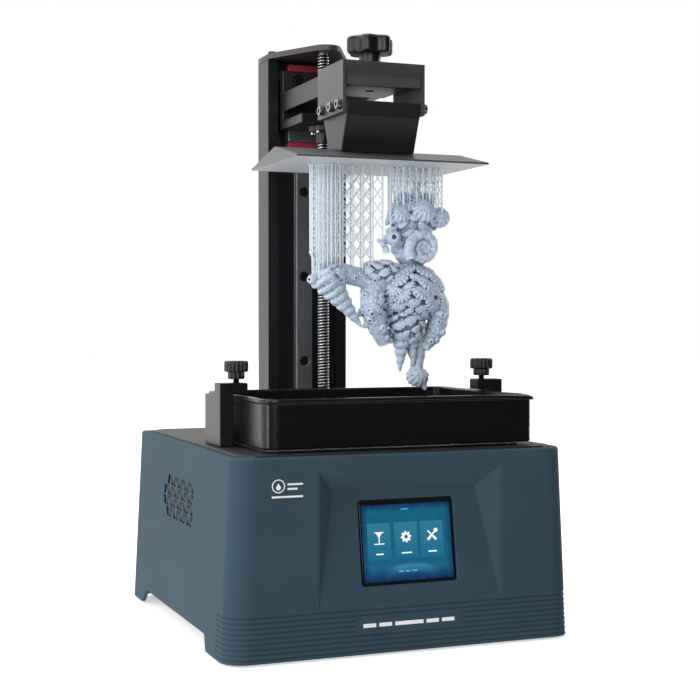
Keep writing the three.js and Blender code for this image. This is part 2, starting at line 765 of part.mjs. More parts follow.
function limitSensor() {
  const { x, half, front, low, high, slotHalf, slotRear } = LIMIT;
  const body = box([x - half, x + half], [front, COLUMN.rear - COLUMN.web - GAP], [low, high]);
  return body.subtract(box([x - slotHalf, x + slotHalf], [front - CUT, slotRear], [low - CUT, high + CUT]));
}

piece("z_column", column(), BLACK_ALUMINIUM);
piece("column_cap", columnCap(), BLACK_STEEL);
piece("linear_rail", rail(), BLACK_STEEL);
railScrewHeights.forEach((z, i) => piece(`rail_screw_${i + 1}`, railScrew(z), BLACK_STEEL));
for (const [side, x] of [["left", -capScrewX], ["right", capScrewX]]) {
  const centre = [x, CAP_SCREW.y];
  const high = COLUMN.top + CAP_SCREW.rise;
  const head = bar(CAP_SCREW.head, "z", [COLUMN.top + CAP.thickness + GAP, high], centre, 12);
  const shank = bar(CAP_SCREW.shank, "z", [COLUMN.top + GAP, high - 1], centre, 10);
  piece(`cap_screw_${side}`, head.add(shank), STEEL);
}
piece("z_motor", motor(), BLACK_STEEL);
piece("lead_screw", leadScrew(), STEEL);
piece("limit_sensor", limitSensor(), BLACK_PLASTIC);

// ---- Z carriage: block, nut and arm --------------------------------------------------------------

function carriageBlock(inset, [low, high]) {
  const { halfWidth, front, rear, slot } = BLOCK;
  const block = box(bothWays(halfWidth - inset), [front + inset, rear - inset], [low, high]);
  return block.subtract(box(bothWays(slot), [RAIL.front - GAP, rear + CUT], [low - CUT, high + CUT]));
}

function arm() {
  const { halfWidth, back, plate, low, high, bar: width, barLow, barHigh, shelf, shelfFront } = ARM;
  let body = box(bothWays(halfWidth), [plate, back], [low, high]);
  for (const side of [-1, 1]) {
    const ends = ordered(side * (halfWidth - width), side * halfWidth);
    body = body.add(box(ends, [BRACKET.rear + GAP, back - 3], [barLow, barHigh]));
  }
  const { halfWidth: tongueHalf, front, rear, low: under, high: over } = TONGUE;
  const tongue = box(bothWays(tongueHalf), [front, rear], [under, over]);
  const bore = bar(TONGUE.bore, "z", [under - CUT, under + TONGUE.boreDepth], [0, KNOB.y], 12);
  body = body.add(tongue.subtract(bore));
  body = body.add(box(bothWays(halfWidth), [shelfFront, plate + 1], [low, low + shelf]));
  return body.subtract(bar(NUT.body + GAP, "z", [low - CUT, low + shelf + CUT], [0, SCREW.y], 20));
}

function leadNut() {
  const flangeTop = ARM.low - GAP;
  const flange = bar(NUT.flange, "z", [flangeTop - NUT.thickness, flangeTop], [0, SCREW.y], 20);
  const nut = flange.add(bar(NUT.body, "z", [NUT.low, NUT.high], [0, SCREW.y], 20));
  const through = [NUT.low - CUT, NUT.high + CUT];
  return nut.subtract(bar(SCREW.radius + GAP, "z", through, [0, SCREW.y], 20));
}

piece("carriage_block", carriageBlock(0, [BLOCK.low, BLOCK.high]), STEEL);
piece("block_seal_upper", carriageBlock(0.3, [BLOCK.high + GAP, BLOCK.high + BLOCK.cap]), CRIMSON);
piece("block_seal_lower", carriageBlock(0.3, [BLOCK.low - BLOCK.cap, BLOCK.low - GAP]), CRIMSON);
piece("carriage_arm", arm(), BLACK_ALUMINIUM);
piece("lead_nut", leadNut(), BLACK_PLASTIC);
const flagX = LIMIT.x - FLAG.offset;
const flagAcross = [flagX - LIMIT.flag, flagX + LIMIT.flag];
piece("limit_flag", box(flagAcross, [ARM.back + GAP, FLAG.rear], [FLAG.low, FLAG.high]), STEEL);

// ---- Platform: bracket, neck, build plate, screws and knob ----------------------------------------

// Three screws in each side of the bracket pass into oversize holes in the neck, so it can tilt.
const LEVELLING = { z: 323.7, head: 3, rise: 3, shank: 1.5, hole: 2.2, depth: 6 };
const levellingRows = { front: -72.5, middle: -59.5, rear: -43 };
const levellingPlaces = [];
for (const [end, y] of Object.entries(levellingRows)) {
  levellingPlaces.push([`${end}_left`, -1, y], [`${end}_right`, 1, y]);
}

function sideways(radius, side, [from, to], y, z, sides = 12) {
  return bar(radius, "x", ordered(side * from, side * to), [y, z], sides);
}

function bracket() {
  const { inner, outer, front, rear, low, high, sheet, window } = BRACKET;
  let body = box(bothWays(outer), [front, rear], [low, high]);
  const inside = [low - CUT, TONGUE.high + GAP];
  body = body.subtract(box(bothWays(inner), [front + sheet, rear + CUT], inside));
  body = body.subtract(box(bothWays(inner), [front - CUT, front + 2 * sheet], [low - CUT, window]));
  body = body.subtract(bar(KNOB.screwHole, "z", [high - 2 * CUT, high + CUT], [0, KNOB.y], 16));
  for (const [, side, y] of levellingPlaces) {
    body = body.subtract(sideways(LEVELLING.hole, side, [inner - 2, outer + CUT], y, LEVELLING.z));
  }
  return body;
}

const gable = (lift) =>
  polygon([
    [PLATE.front, PLATE.low + lift],
    [PLATE.rear, PLATE.low + lift],
    [PLATE.rear, PLATE.edge + lift],
    [PLATE.ridge, PLATE.high + lift],
    [PLATE.front, PLATE.edge + lift],
  ]);

function neck() {
  const { front, rear, taper, low, bend, high } = NECK;
  const outline = polygon([
    [front, bend],
    [front + taper, low],
    [rear - taper, low],
    [rear, bend],
    [rear, high],
    [front, high],
  ]);
  let body = prismX(outline, bothWays(NECK.halfWidth));
  body = body.subtract(prismX(gable(GAP), bothWays(PLATE.halfWidth)));
  for (const [, side, y] of levellingPlaces) {
    const reach = [NECK.halfWidth - LEVELLING.depth, NECK.halfWidth + CUT];
    body = body.subtract(sideways(LEVELLING.hole, side, reach, y, LEVELLING.z));
  }
  return body;
}

function levellingScrew(side, y) {
  const shank = [NECK.halfWidth - LEVELLING.depth + GAP, BRACKET.outer + 1];
  const seat = [BRACKET.outer + GAP, BRACKET.outer + LEVELLING.rise];
  const head = sideways(LEVELLING.head, side, seat, y, LEVELLING.z);
  return head.add(sideways(LEVELLING.shank, side, shank, y, LEVELLING.z, 10));
}

// A grip with rounded lobes: its radius swings in and out round the axis.
function lobedGrip(radius, lobe, lobes, [low, high], [x, y], steps) {
  const points = [];
  for (let i = 0; i < steps; i++) {
    const angle = (i / steps) * 2 * Math.PI;
    const r = radius + lobe * Math.cos(lobes * angle);
    points.push([x + r * Math.cos(angle), y + r * Math.sin(angle)]);
  }
  return prismZ(polygon(points), [low, high]);
}

function clampKnob() {
  const { radius, lobe, lobes, low, high, stem, y } = KNOB;
  let knob = lobedGrip(radius, lobe, lobes, [low, high], [0, y], 48);
  knob = knob.add(bar(stem, "z", [BRACKET.high + GAP, low + 1], [0, y], 20));
  const bore = [BRACKET.high - CUT, KNOB.screwHigh + 0.5];
  return knob.subtract(bar(KNOB.screw + GAP, "z", bore, [0, y], 16));
}

piece("platform_bracket", bracket(), BLACK_STEEL);
piece("platform_neck", neck(), BLACK_ALUMINIUM);
piece("build_plate", prismX(gable(0), bothWays(PLATE.halfWidth)), ALUMINIUM);
for (const [place, side, y] of levellingPlaces) {
  piece(`levelling_screw_${place}`, levellingScrew(side, y), STEEL);
}
piece("platform_knob", clampKnob(), BLACK_PLASTIC);
const clampScrew = bar(KNOB.screw, "z", [TONGUE.high + GAP, KNOB.screwHigh], [0, KNOB.y], 16);
piece("platform_knob_screw", clampScrew, STEEL);

// ---- Resin vat and its clamps ----------------------------------------------------------------

const vatPlan = (inset) =>
  roundedRectangle(
    bothWays(VAT.halfWidth - inset),
    [VAT.front + inset, VAT.rear - inset],
    VAT.radius - inset,
  );

// The front right corner of the vat bulges out into a pouring spout.
function spoutPlan(inset) {
  const edge = SPOUT.x - inset;
  const radius = SPOUT.radius - inset;
  const shape = new THREE.Shape();
  shape.moveTo(SPOUT.start, VAT.front + inset);
  shape.absarc(edge - radius, VAT.front + inset + radius, radius, 1.5 * Math.PI, 2 * Math.PI);
  shape.lineTo(edge, SPOUT.rear);
  shape.lineTo(VAT.halfWidth - inset, SPOUT.end);
  shape.lineTo(SPOUT.start, SPOUT.end);
  return shape;
}

const vatSolid = (inset, heights) => prismZ(vatPlan(inset), heights).add(prismZ(spoutPlan(inset), heights));

function vatFrame() {
  let frame = vatSolid(0, [VAT.low, VAT.high]);
  frame = frame.add(vatSolid(-LIP.out, [LIP.low, VAT.high]));
  return frame.subtract(vatSolid(VAT.wall, [VAT.low - CUT, VAT.high + CUT]));
}

function filmRing() {
  const ring = prismZ(vatPlan(FILM_RING.inset), [FILM_RING.low, FILM_RING.high]);
  return ring.subtract(prismZ(vatPlan(FILM_RING.width), [FILM_RING.low - CUT, FILM_RING.high + CUT]));
}

// A clamp post stands beside the vat and reaches over its lip.
function vatClamp(side) {
  const { inner, outer, tip, front, middle, rear, high, shelf } = CLAMP;
  const across = (from, to) => ordered(side * from, side * to);
  const low = TOP_PLATE.top + GAP;
  let body = box(across(inner, outer), [front, rear], [low, shelf - 1]);
  body = body.add(box(across(inner, outer), [front, middle], [low, high]));
  body = body.add(box(across(tip, outer), [front, middle], [shelf, high]));
  const centre = [side * THUMB.x, THUMB.y];
  return body.subtract(bar(THUMB_STEM.radius + GAP, "z", [shelf - CUT, high + CUT], centre, 14));
}

function thumbScrew(side) {
  const centre = [side * THUMB.x, THUMB.y];
  const { radius, lobe, lobes, low, high } = THUMB;
  const { neck, neckLow, radius: stem, tip } = THUMB_STEM;
  let body = lobedGrip(radius, lobe, lobes, [low, high], centre, 48);
  body = body.add(bar(neck, "z", [neckLow, low + 1], centre, 16));
  return body.add(bar(stem, "z", [tip, low], centre, 14));
}

piece("vat_frame", vatFrame(), BLACK_PLASTIC);
piece("vat_film", prismZ(vatPlan(FILM.inset), [FILM.low, FILM.low + FILM.thickness]), FILM_CLEAR);
piece("film_ring", filmRing(), STEEL);
for (const [name, side] of [["left", -1], ["right", 1]]) {
  piece(`vat_clamp_${name}`, vatClamp(side), DARK_PAINT);
  piece(`vat_thumb_screw_${name}`, thumbScrew(side), BLACK_PLASTIC);
}

// ---- The print: a cluster of sea shells and coral on its supports -------------------------------

// The coral branches and support posts are tapered sticks between two points.
function stick([x0, y0, z0], [x1, y1, z1], startRadius, endRadius, sides = 6) {
  const from = new THREE.Vector3(x0, y0, z0);
  const along = new THREE.Vector3(x1, y1, z1).sub(from);
  const geometry = new THREE.CylinderGeometry(endRadius, startRadius, along.length(), sides);
  geometry.translate(0, along.length() / 2, 0);
  const turn = new THREE.Quaternion().setFromUnitVectors(new THREE.Vector3(0, 1, 0), along.normalize());
  return solid(geometry.applyQuaternion(turn).translate(x0, y0, z0));
}

const ball = (radius, [x, y, z]) => solid(new THREE.IcosahedronGeometry(radius, 1).translate(x, y, z));

// The main mass is a lathed cluster that tapers to a point below; a coiled shell, two round
// shells and two branches stand out from it.
function printedShells() {
  const y = KNOB.y;
  const clusterX = 24;
  const profile = [[0, 150], [5, 158], [9, 172], [18, 190], [24, 208], [22, 226], [12, 238], [0, 242]];
  const coil = { radius: 11, x: 29, z: 243, front: 16, rear: 6 };
  const outline = profile.map(([r, z]) => new THREE.Vector2(r, z));
  const lathe = new THREE.LatheGeometry(outline, 14).rotateX(Math.PI / 2);
  let body = solid(lathe.translate(clusterX, y, 0));
  body = body.add(bar(coil.radius, "y", [y - coil.front, y + coil.rear], [coil.x, coil.z], 18));
  body = body.add(ball(11, [40, y, 258])).add(ball(9, [20, y + 6, 258]));
  body = body.add(stick([14, y, 205], [-38, y, 226], 9, 6));
  return body.add(stick([-34, y, 222], [-6, y - 6, 192], 6, 4));
}

const RAFT = { left: -40, right: 46, half: 12, thickness: 2 };
const POST = { spread: 8, gather: 0.4, top: 1.2, tip: 1, brace: 0.9, braceLow: 250 };
const postPlaces = [[-36, 222], [-24, 218], [-12, 214], [0, 216], [12, 232], [24, 236], [38, 255]];

// A raft under the build plate carries posts that reach down to the print.
function supports() {
  const y = KNOB.y;
  const top = PLATE.low - GAP;
  const start = top - RAFT.thickness / 2;
  let frame = box([RAFT.left, RAFT.right], [y - RAFT.half, y + RAFT.half], [top - RAFT.thickness, top]);
  for (const spread of bothWays(POST.spread)) {
    for (const [x, z] of postPlaces) {
      const foot = [x, y + spread * POST.gather, z];
      frame = frame.add(stick([x, y + spread, start], foot, POST.top, POST.tip, 5));
    }
    for (let i = 1; i < 4; i++) {
      const foot = [postPlaces[i][0], y + spread * 0.7, POST.braceLow];
      frame = frame.add(stick([postPlaces[i - 1][0], y + spread, start], foot, POST.brace, POST.brace, 5));
    }
  }
  return frame;
}

piece("printed_model", joined(printedShells(), supports()), RESIN);

export default printer;
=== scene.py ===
import math
import random

import bmesh
import bpy
from mathutils import Matrix, Vector, noise


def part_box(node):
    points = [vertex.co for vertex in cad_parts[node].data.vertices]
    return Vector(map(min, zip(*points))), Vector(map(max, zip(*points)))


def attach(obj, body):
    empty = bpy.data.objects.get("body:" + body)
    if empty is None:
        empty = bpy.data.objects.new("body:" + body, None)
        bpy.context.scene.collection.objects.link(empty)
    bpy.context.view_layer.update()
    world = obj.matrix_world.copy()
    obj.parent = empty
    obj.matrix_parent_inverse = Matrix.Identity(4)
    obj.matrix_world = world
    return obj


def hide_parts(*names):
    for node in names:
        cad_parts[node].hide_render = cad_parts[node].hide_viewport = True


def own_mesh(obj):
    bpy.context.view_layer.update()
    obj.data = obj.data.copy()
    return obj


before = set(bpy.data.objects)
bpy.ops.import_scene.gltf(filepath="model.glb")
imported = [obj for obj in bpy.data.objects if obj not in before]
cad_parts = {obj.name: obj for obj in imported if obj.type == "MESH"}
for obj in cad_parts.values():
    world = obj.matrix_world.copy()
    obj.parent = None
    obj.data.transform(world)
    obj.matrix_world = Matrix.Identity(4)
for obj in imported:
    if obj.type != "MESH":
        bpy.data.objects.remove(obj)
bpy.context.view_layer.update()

# A desktop resin printer. Shapes are worked out in millimetres, in the frame's own axes
# (+Z up, front towards -Y), and become metres when a mesh is made.
MM = 0.001
FINE = 48  # sides of a round piece that is looked at closely
random.seed(7)


# ---- Meshes -----------------------------------------------------------------------------------

def box_mm(node):
    low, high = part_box(node)
    return Vector(low) / MM, Vector(high) / MM


def extent(node):
    low, high = box_mm(node)
    return low, high, (low + high) / 2


def middle_mm(node):
    return extent(node)[2]


def linked(name, data):
    made = bpy.data.objects.new(name, data)
    bpy.context.scene.collection.objects.link(made)
    return made


def new_piece(name, points, faces):
    mesh = bpy.data.meshes.new(name)
    mesh.from_pydata([Vector(p) * MM for p in points], [], faces)
    tidy_normals(mesh)
    return linked(name, mesh)


def tidy_normals(mesh):
    work = bmesh.new()
    work.from_mesh(mesh)
    bmesh.ops.recalc_face_normals(work, faces=work.faces)
    work.to_mesh(mesh)
    work.free()


def place(axis, a, b, h):
    """A point from its two outline values and its height along an axis, in X, Y, Z order."""
    if axis == "x":
        return (h, a, b)
    if axis == "y":
        return (a, h, b)
    return (a, b, h)


def loft(name, rings, closed=False):
    """Rings with the same number of points, joined in order, with flat caps or closed on itself."""
    count = len(rings[0])
    points = [p for ring in rings for p in ring]
    faces = []
    last = len(rings) if closed else len(rings) - 1
    for i in range(last):
        a, b = i * count, ((i + 1) % len(rings)) * count
        for j in range(count):
            k = (j + 1) % count
            faces.append((a + j, a + k, b + k, b + j))
    if not closed:
        faces.append(tuple(range(count)))
        faces.append(tuple(range(len(points) - count, len(points))))
    return new_piece(name, points, faces)


def prism(name, outline, axis, low, high):
    return loft(name, [[place(axis, a, b, h) for a, b in outline] for h in (low, high)])


def block(name, low, high):
    (x0, y0, z0), (x1, y1, z1) = low, high
    return prism(name, [(x0, y0), (x1, y0), (x1, y1), (x0, y1)], "z", z0, z1)


def circle(radius, steps, centre=(0, 0), wave=0.0, lobes=0, power=1.0):
    """A circle whose radius swings by wave, lobes times round."""
    ring = []
    for i in range(steps):
        angle = 2 * math.pi * i / steps
        swing = math.cos(lobes * angle)
        r = radius + wave * math.copysign(abs(swing) ** power, swing)
        ring.append((centre[0] + r * math.cos(angle), centre[1] + r * math.sin(angle)))
    return ring


def turned(name, axis, centre, profile, steps=FINE):
    """A round piece: profile is (radius, height) from one end to the other."""
    rings = [[place(axis, a, b, h) for a, b in circle(r, steps, centre)] for r, h in profile]
    return loft(name, rings)


def bore(axis, centre, radius, low, high, steps=FINE):
    """A straight round tool for cutting a hole."""
    return turned("bore", axis, centre, [(radius, low), (radius, high)], steps)


def flared(axis, centre, radius, wide, heights, steps=32):
    """A round tool that goes from radius to wide between the middle two of its four heights."""
    return turned("flared", axis, centre, list(zip((radius, radius, wide, wide), heights)), steps)


def rounded(x, y, radius, steps=8):
    """A rectangle between x = (x0, x1) and y = (y0, y1); radius is one number or (front, rear)."""
    front, rear = radius if isinstance(radius, tuple) else (radius, radius)
    corners = [
        (x[0] + front, y[0] + front, front, math.pi),
        (x[1] - front, y[0] + front, front, 1.5 * math.pi),
        (x[1] - rear, y[1] - rear, rear, 0.0),
        (x[0] + rear, y[1] - rear, rear, 0.5 * math.pi),
    ]
    ring = []
    for cx, cy, r, start in corners:
        for i in range(steps + 1):
            angle = start + 0.5 * math.pi * i / steps
            ring.append((cx + r * math.cos(angle), cy + r * math.sin(angle)))
    return ring


def chamfered(x, y, c):
    return [
        (x[0] + c, y[0]), (x[1] - c, y[0]), (x[1], y[0] + c), (x[1], y[1] - c),
        (x[1] - c, y[1]), (x[0] + c, y[1]), (x[0], y[1] - c), (x[0], y[0] + c),
    ]


def bake_modifiers(piece):
    view = bpy.context.evaluated_depsgraph_get()
    mesh = bpy.data.meshes.new_from_object(piece.evaluated_get(view))
    old = piece.data
    piece.modifiers.clear()
    piece.data = mesh
    bpy.data.meshes.remove(old)
    return piece


def boolean(piece, other, operation):
    step = piece.modifiers.new("boolean", "BOOLEAN")
    step.operation = operation
    step.object = other
    step.solver = "MANIFOLD"
    bake_modifiers(piece)
    bpy.data.objects.remove(other)
    return piece


def cut(piece, *tools):
    for tool in tools:
        boolean(piece, tool, "DIFFERENCE")
    return piece


def unite(piece, *others):
    for other in others:
        boolean(piece, other, "UNION")
    return piece


def join(name, pieces):
    """Separate closed pieces as one object."""
    work = bmesh.new()
    for piece in pieces:
        work.from_mesh(piece.data)
        bpy.data.objects.remove(piece)
    mesh = bpy.data.meshes.new(name)
    work.to_mesh(mesh)
    work.free()
    return linked(name, mesh)


def soften(piece, width=0.3, segments=2, angle=30):
    """Rounds every edge sharper than angle degrees by width millimetres."""
    work = bmesh.new()
    work.from_mesh(piece.data)
    bmesh.ops.remove_doubles(work, verts=work.verts, dist=1e-6)
    bmesh.ops.dissolve_limit(work, angle_limit=math.radians(0.4), verts=work.verts, edges=work.edges)
    work.to_mesh(piece.data)
    work.free()
    step = piece.modifiers.new("bevel", "BEVEL")
    step.width = width * MM
    step.segments = segments
    step.limit_method = "ANGLE"
    step.angle_limit = math.radians(angle)
    step.use_clamp_overlap = True
    return bake_modifiers(piece)


def moved(piece, matrix):
    piece.data.transform(matrix)
    return piece


def shift(x=0.0, y=0.0, z=0.0):
    return Matrix.Translation(Vector((x, y, z)) * MM)


def fit(piece, body, look, slot, *nodes, crease=35):
    """Gives a piece its material and its body, and hides the CAD nodes that it stands for."""
    mesh = piece.data
    mesh.materials.clear()
    for one in look if isinstance(look, (list, tuple)) else [look]:
        mesh.materials.append(one)
    mesh.shade_smooth()
    mesh.set_sharp_from_angle(angle=math.radians(crease))
    even = piece.modifiers.new("even_shading", "WEIGHTED_NORMAL")
    even.keep_sharp = True
    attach(piece, body)
    if nodes:
        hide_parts(*nodes)
    return piece


def hull(name, points):
    work = bmesh.new()
    for p in points:
        work.verts.new(Vector(p) * MM)
    made = bmesh.ops.convex_hull(work, input=work.verts)
    loose = [v for v in made["geom_interior"] if isinstance(v, bmesh.types.BMVert)]
    bmesh.ops.delete(work, geom=loose, context="VERTS")
    mesh = bpy.data.meshes.new(name)
    work.to_mesh(mesh)
    work.free()
    tidy_normals(mesh)
    return linked(name, mesh)


def capped(name, axis, centre, profile, wave, lobes, steps, power=1.0):
    """A grip whose outline swings in and out, with its profile as (radius, height, share of the swing)."""
    rings = []
    for r, h, share in profile:
        ring = circle(r, steps, centre, wave * share, lobes, power)
        rings.append([place(axis, a, b, h) for a, b in ring])
    return loft(name, rings)


def socket_screw(name, axis, centre, head, rise, shank, reach, facing, sides=36):
    """A cap screw: its head runs from the seat for rise along facing, its shank the other way for reach.
    centre holds the two cross values and the height of the seat."""
    a, b, seat = centre
    top = seat + facing * rise
    edge = 0.35
    body = turned(name, axis, (a, b), [
        (shank, seat - facing * reach),
        (shank, seat),
        (head, seat),
        (head, top - facing * edge),
        (head - 0.15, top - facing * 0.12),
        (head - edge, top),
    ], sides)
    key = circle(head * 0.5, 6, (a, b))
    depth = rise * 0.6
    ends = sorted((top - facing * depth, top + facing * 2))
    return cut(body, prism("key", key, axis, *ends))


# ---- Looks ------------------------------------------------------------------------------------

def rgb(red, green, blue):
    """The linear colour of a display colour given from 0 to 255."""
    values = []
    for c in (red, green, blue):
        c /= 255
        values.append(c / 12.92 if c <= 0.04045 else ((c + 0.055) / 1.055) ** 2.4)
    return tuple(values)


def feed(tree, node, inputs):
    """Fills a node's inputs: a link where the value is a socket, else a value on the socket itself."""
    for key, value in inputs.items():
        if isinstance(value, bpy.types.NodeSocket):
            tree.links.new(value, node.inputs[key])
        else:
            node.inputs[key].default_value = value


def add(tree, kind, inputs=None, **settings):
    node = tree.nodes.new("ShaderNode" + kind)
    for key, value in settings.items():
        setattr(node, key, value)
    feed(tree, node, inputs or {})
    return node


def math_of(tree, operation, a, b):
    return add(tree, "Math", {0: a, 1: b}, operation=operation).outputs[0]


def mixed(tree, share, a, b):
    """The colour between a and b at share."""
    inputs = {0: share}
    for key, value in ((6, a), (7, b)):
        inputs[key] = value if isinstance(value, bpy.types.NodeSocket) else (*value, 1.0)
    return add(tree, "Mix", inputs, data_type="RGBA").outputs[2]


def ranged(tree, value, start, end, low=0.0, high=1.0):
    return add(tree, "MapRange", {
        "Value": value, "From Min": start, "From Max": end, "To Min": low, "To Max": high,
    }).outputs[0]


def noise_of(tree, place, size, detail=3.0):
    """Noise with features about size millimetres across."""
    return add(tree, "TexNoise", {
        "Vector": place, "Scale": 1 / (size * MM), "Detail": detail, "Roughness": 0.6,
    }).outputs["Fac"]


def contrast(tree, value, low=0.0, high=1.0):
    """Noise spread over low to high."""
    return ranged(tree, value, 0.3, 0.7, low, high)


def bumped(tree, height, distance, strength):
    """A surface direction for relief that is distance millimetres deep."""
    return add(tree, "Bump", {"Height": height, "Distance": distance * MM, "Strength": strength}).outputs[0]


def blank(name):
    """A new material with its tree, its shader and the piece's own coordinates."""
    made = bpy.data.materials.new(name)
    made.use_nodes = True
    tree = made.node_tree
    return made, tree, tree.nodes["Principled BSDF"], add(tree, "TexCoord").outputs["Object"]


def reopened(made):
    tree = made.node_tree
    return tree, tree.nodes["Principled BSDF"], add(tree, "TexCoord").outputs["Object"]


def dimmed(tone, factor):
    return tuple(min(c * factor, 1.0) for c in tone)


def grained(name, tone, rough, metal=0.0, grain=0.6, spread=0.12, relief=0.03, swing=0.06,
            stretch=(1.0, 1.0, 1.0), cloud=45.0, patches=0.08, shine=0.5, coat=0.0, worn=0.0):
    """A finish with fine grain, slow patches and, where worn, edges that are rubbed lighter."""
    made, tree, shader, place_out = blank(name)
    mapped = add(tree, "Mapping", {"Vector": place_out, "Scale": stretch}).outputs[0]
    fine = noise_of(tree, mapped, grain)
    fine_share = contrast(tree, fine)
    slow_share = ranged(tree, noise_of(tree, place_out, cloud), 0.35, 0.65)
    body = mixed(tree, fine_share, dimmed(tone, 1 - spread), dimmed(tone, 1 + spread))
    dark, pale = dimmed(tone, 1 - spread + patches), dimmed(tone, 1 + spread + 2 * patches)
    dusty = mixed(tree, fine_share, dark, pale)
    colour = mixed(tree, slow_share, body, dusty)
    if worn:
        edge = add(tree, "NewGeometry").outputs["Pointiness"]
        rubbed = ranged(tree, edge, 0.515, 0.56, 0.0, worn)
        colour = mixed(tree, rubbed, colour, dimmed(tone, 1.9))
    feed(tree, shader, {
        "Base Color": colour, "Roughness": contrast(tree, fine, rough - swing, rough + swing),
        "Metallic": metal, "Specular IOR Level": shine, "Coat Weight": coat,
        "Normal": bumped(tree, fine, relief, 0.7),
    })
    return made


def lit_surface(name, rough, strength):
    """A material whose colour is given off, as a display's is."""
    made, tree, shader, place_out = blank(name)
    feed(tree, shader, {"Roughness": rough, "Emission Strength": strength})
    return made, tree, shader, place_out


def glowing(name, tone):
    """A lit mark on the display."""
    made, tree, shader, place_out = lit_surface(name, 0.12, 1.0)
    dots = contrast(tree, noise_of(tree, place_out, 1.2))
    feed(tree, shader, {
        "Emission Color": mixed(tree, dots, dimmed(tone, 0.93), dimmed(tone, 1.07)),
        "Base Color": mixed(tree, dots, dimmed(tone, 0.25), dimmed(tone, 0.3)),
    })
    return made


SHELL_PAINT = grained("blue_grey_plastic", rgb(56, 76, 88), 0.6, grain=0.55, spread=0.10, relief=0.035,
                      patches=0.05, shine=0.06)
TOP_PAINT = grained("dark_powder_coat", rgb(24, 25, 27), 0.5, grain=0.8, spread=0.25, relief=0.06, worn=0.35)
SHEET_STEEL = grained("black_coated_steel", rgb(58, 59, 61), 0.42, metal=0.2, grain=0.7, spread=0.2,
                      relief=0.04, worn=0.5)
BLACK_PLASTIC = grained("black_plastic", rgb(17, 17, 18), 0.42, grain=0.5, spread=0.2, relief=0.03)
VAT_PLASTIC = grained("gloss_black_plastic", rgb(12, 11, 13), 0.26, grain=1.4, spread=0.10, relief=0.003,
                      swing=0.02, stretch=(1.0, 1.0, 0.25), shine=0.42)
CLAMP_PAINT = grained("black_clamp_paint", rgb(13, 13, 14), 0.34, grain=0.7, spread=0.25, relief=0.03,
                      worn=0.3, shine=0.32)
KNOB_PLASTIC = grained("black_knob", rgb(14, 14, 16), 0.36, grain=0.6, spread=0.2, relief=0.03)
RUBBER = grained("foot_rubber", rgb(20, 20, 20), 0.85, grain=0.9, spread=0.3, relief=0.12)
GREY_PLASTIC = grained("grey_plastic", rgb(70, 72, 75), 0.55, grain=0.6, spread=0.15, relief=0.04)
BLACK_ALUMINIUM = grained("black_anodised_aluminium", rgb(22, 22, 24), 0.38, metal=0.5, grain=0.45,
                          spread=0.22, relief=0.02, stretch=(1.0, 1.0, 0.12), worn=0.5)
ARM_ALUMINIUM = grained("black_anodised_arm", rgb(32, 33, 35), 0.4, metal=0.5, grain=0.45, spread=0.2,
                        relief=0.02, worn=0.6)
RAIL_STEEL = grained("ground_rail_steel", rgb(104, 106, 108), 0.32, metal=0.6, grain=0.35, spread=0.15,
                     relief=0.008, stretch=(1.0, 1.0, 0.05))
BRIGHT_STEEL = grained(
    "bright_steel", rgb(196, 197, 200), 0.26, metal=1.0, grain=0.5, spread=0.1, relief=0.01,
)
# Dark steel, also used on the film ring; on the lead screw it covers the thread's roots and flanks as painted
# shade between the bright crests.
DARK_STEEL_AND_ROOT_SHADE = grained(
    "dark_steel_and_root_shade", rgb(26, 25, 24), 0.3, metal=0.6, grain=0.5, spread=0.2, relief=0.02,
)
BLACK_SCREW = grained("black_oxide_screw", rgb(30, 30, 32), 0.35, metal=0.7, grain=0.4, spread=0.25,
                      relief=0.02, worn=0.6)
NICKEL_SCREW = grained("dark_nickel_screw", rgb(128, 128, 131), 0.24, metal=1.0, grain=0.4, spread=0.2,
                       relief=0.01)
ACETAL = grained("black_acetal", rgb(24, 24, 25), 0.35, grain=0.5, spread=0.15, relief=0.02,
                 stretch=(1.0, 1.0, 4.0))
CRIMSON = grained("crimson_seal", rgb(150, 44, 60), 0.42, grain=0.7, spread=0.12, relief=0.03)


def circuit_board():
    """Green lacquer with a grid of paler tracks."""
    made = grained("circuit_board", rgb(26, 78, 50), 0.4, grain=0.8, spread=0.15, relief=0.02)
    tree, shader, place_out = reopened(made)
    tracks = add(tree, "TexBrick", {
        "Vector": place_out, "Scale": 1 / (14 * MM), "Mortar Size": 0.03, "Mortar Smooth": 0.2,
        "Color1": (*rgb(24, 74, 46), 1.0), "Color2": (*rgb(30, 86, 55), 1.0),
        "Mortar": (*rgb(70, 130, 80), 1.0),
    })
    feed(tree, shader, {"Base Color": tracks.outputs["Color"]})
    return made


def clear_film(name, tone, rough, passing):
    """A clear material; passing is the share of light that goes through."""
    made = grained(name, tone, rough, grain=3.0, spread=0.05, relief=0.01, swing=0.03)
    tree = made.node_tree
    feed(tree, tree.nodes["Principled BSDF"], {"Transmission Weight": passing, "IOR": 1.45})
    return made


def bands(tree, place, pitch, direction, distortion):
    """Stripes that repeat every pitch millimetres."""
    return add(tree, "TexWave", {"Vector": place, "Scale": 0.314 / (pitch * MM), "Distortion": distortion},
               wave_type="BANDS", bands_direction=direction).outputs["Fac"]


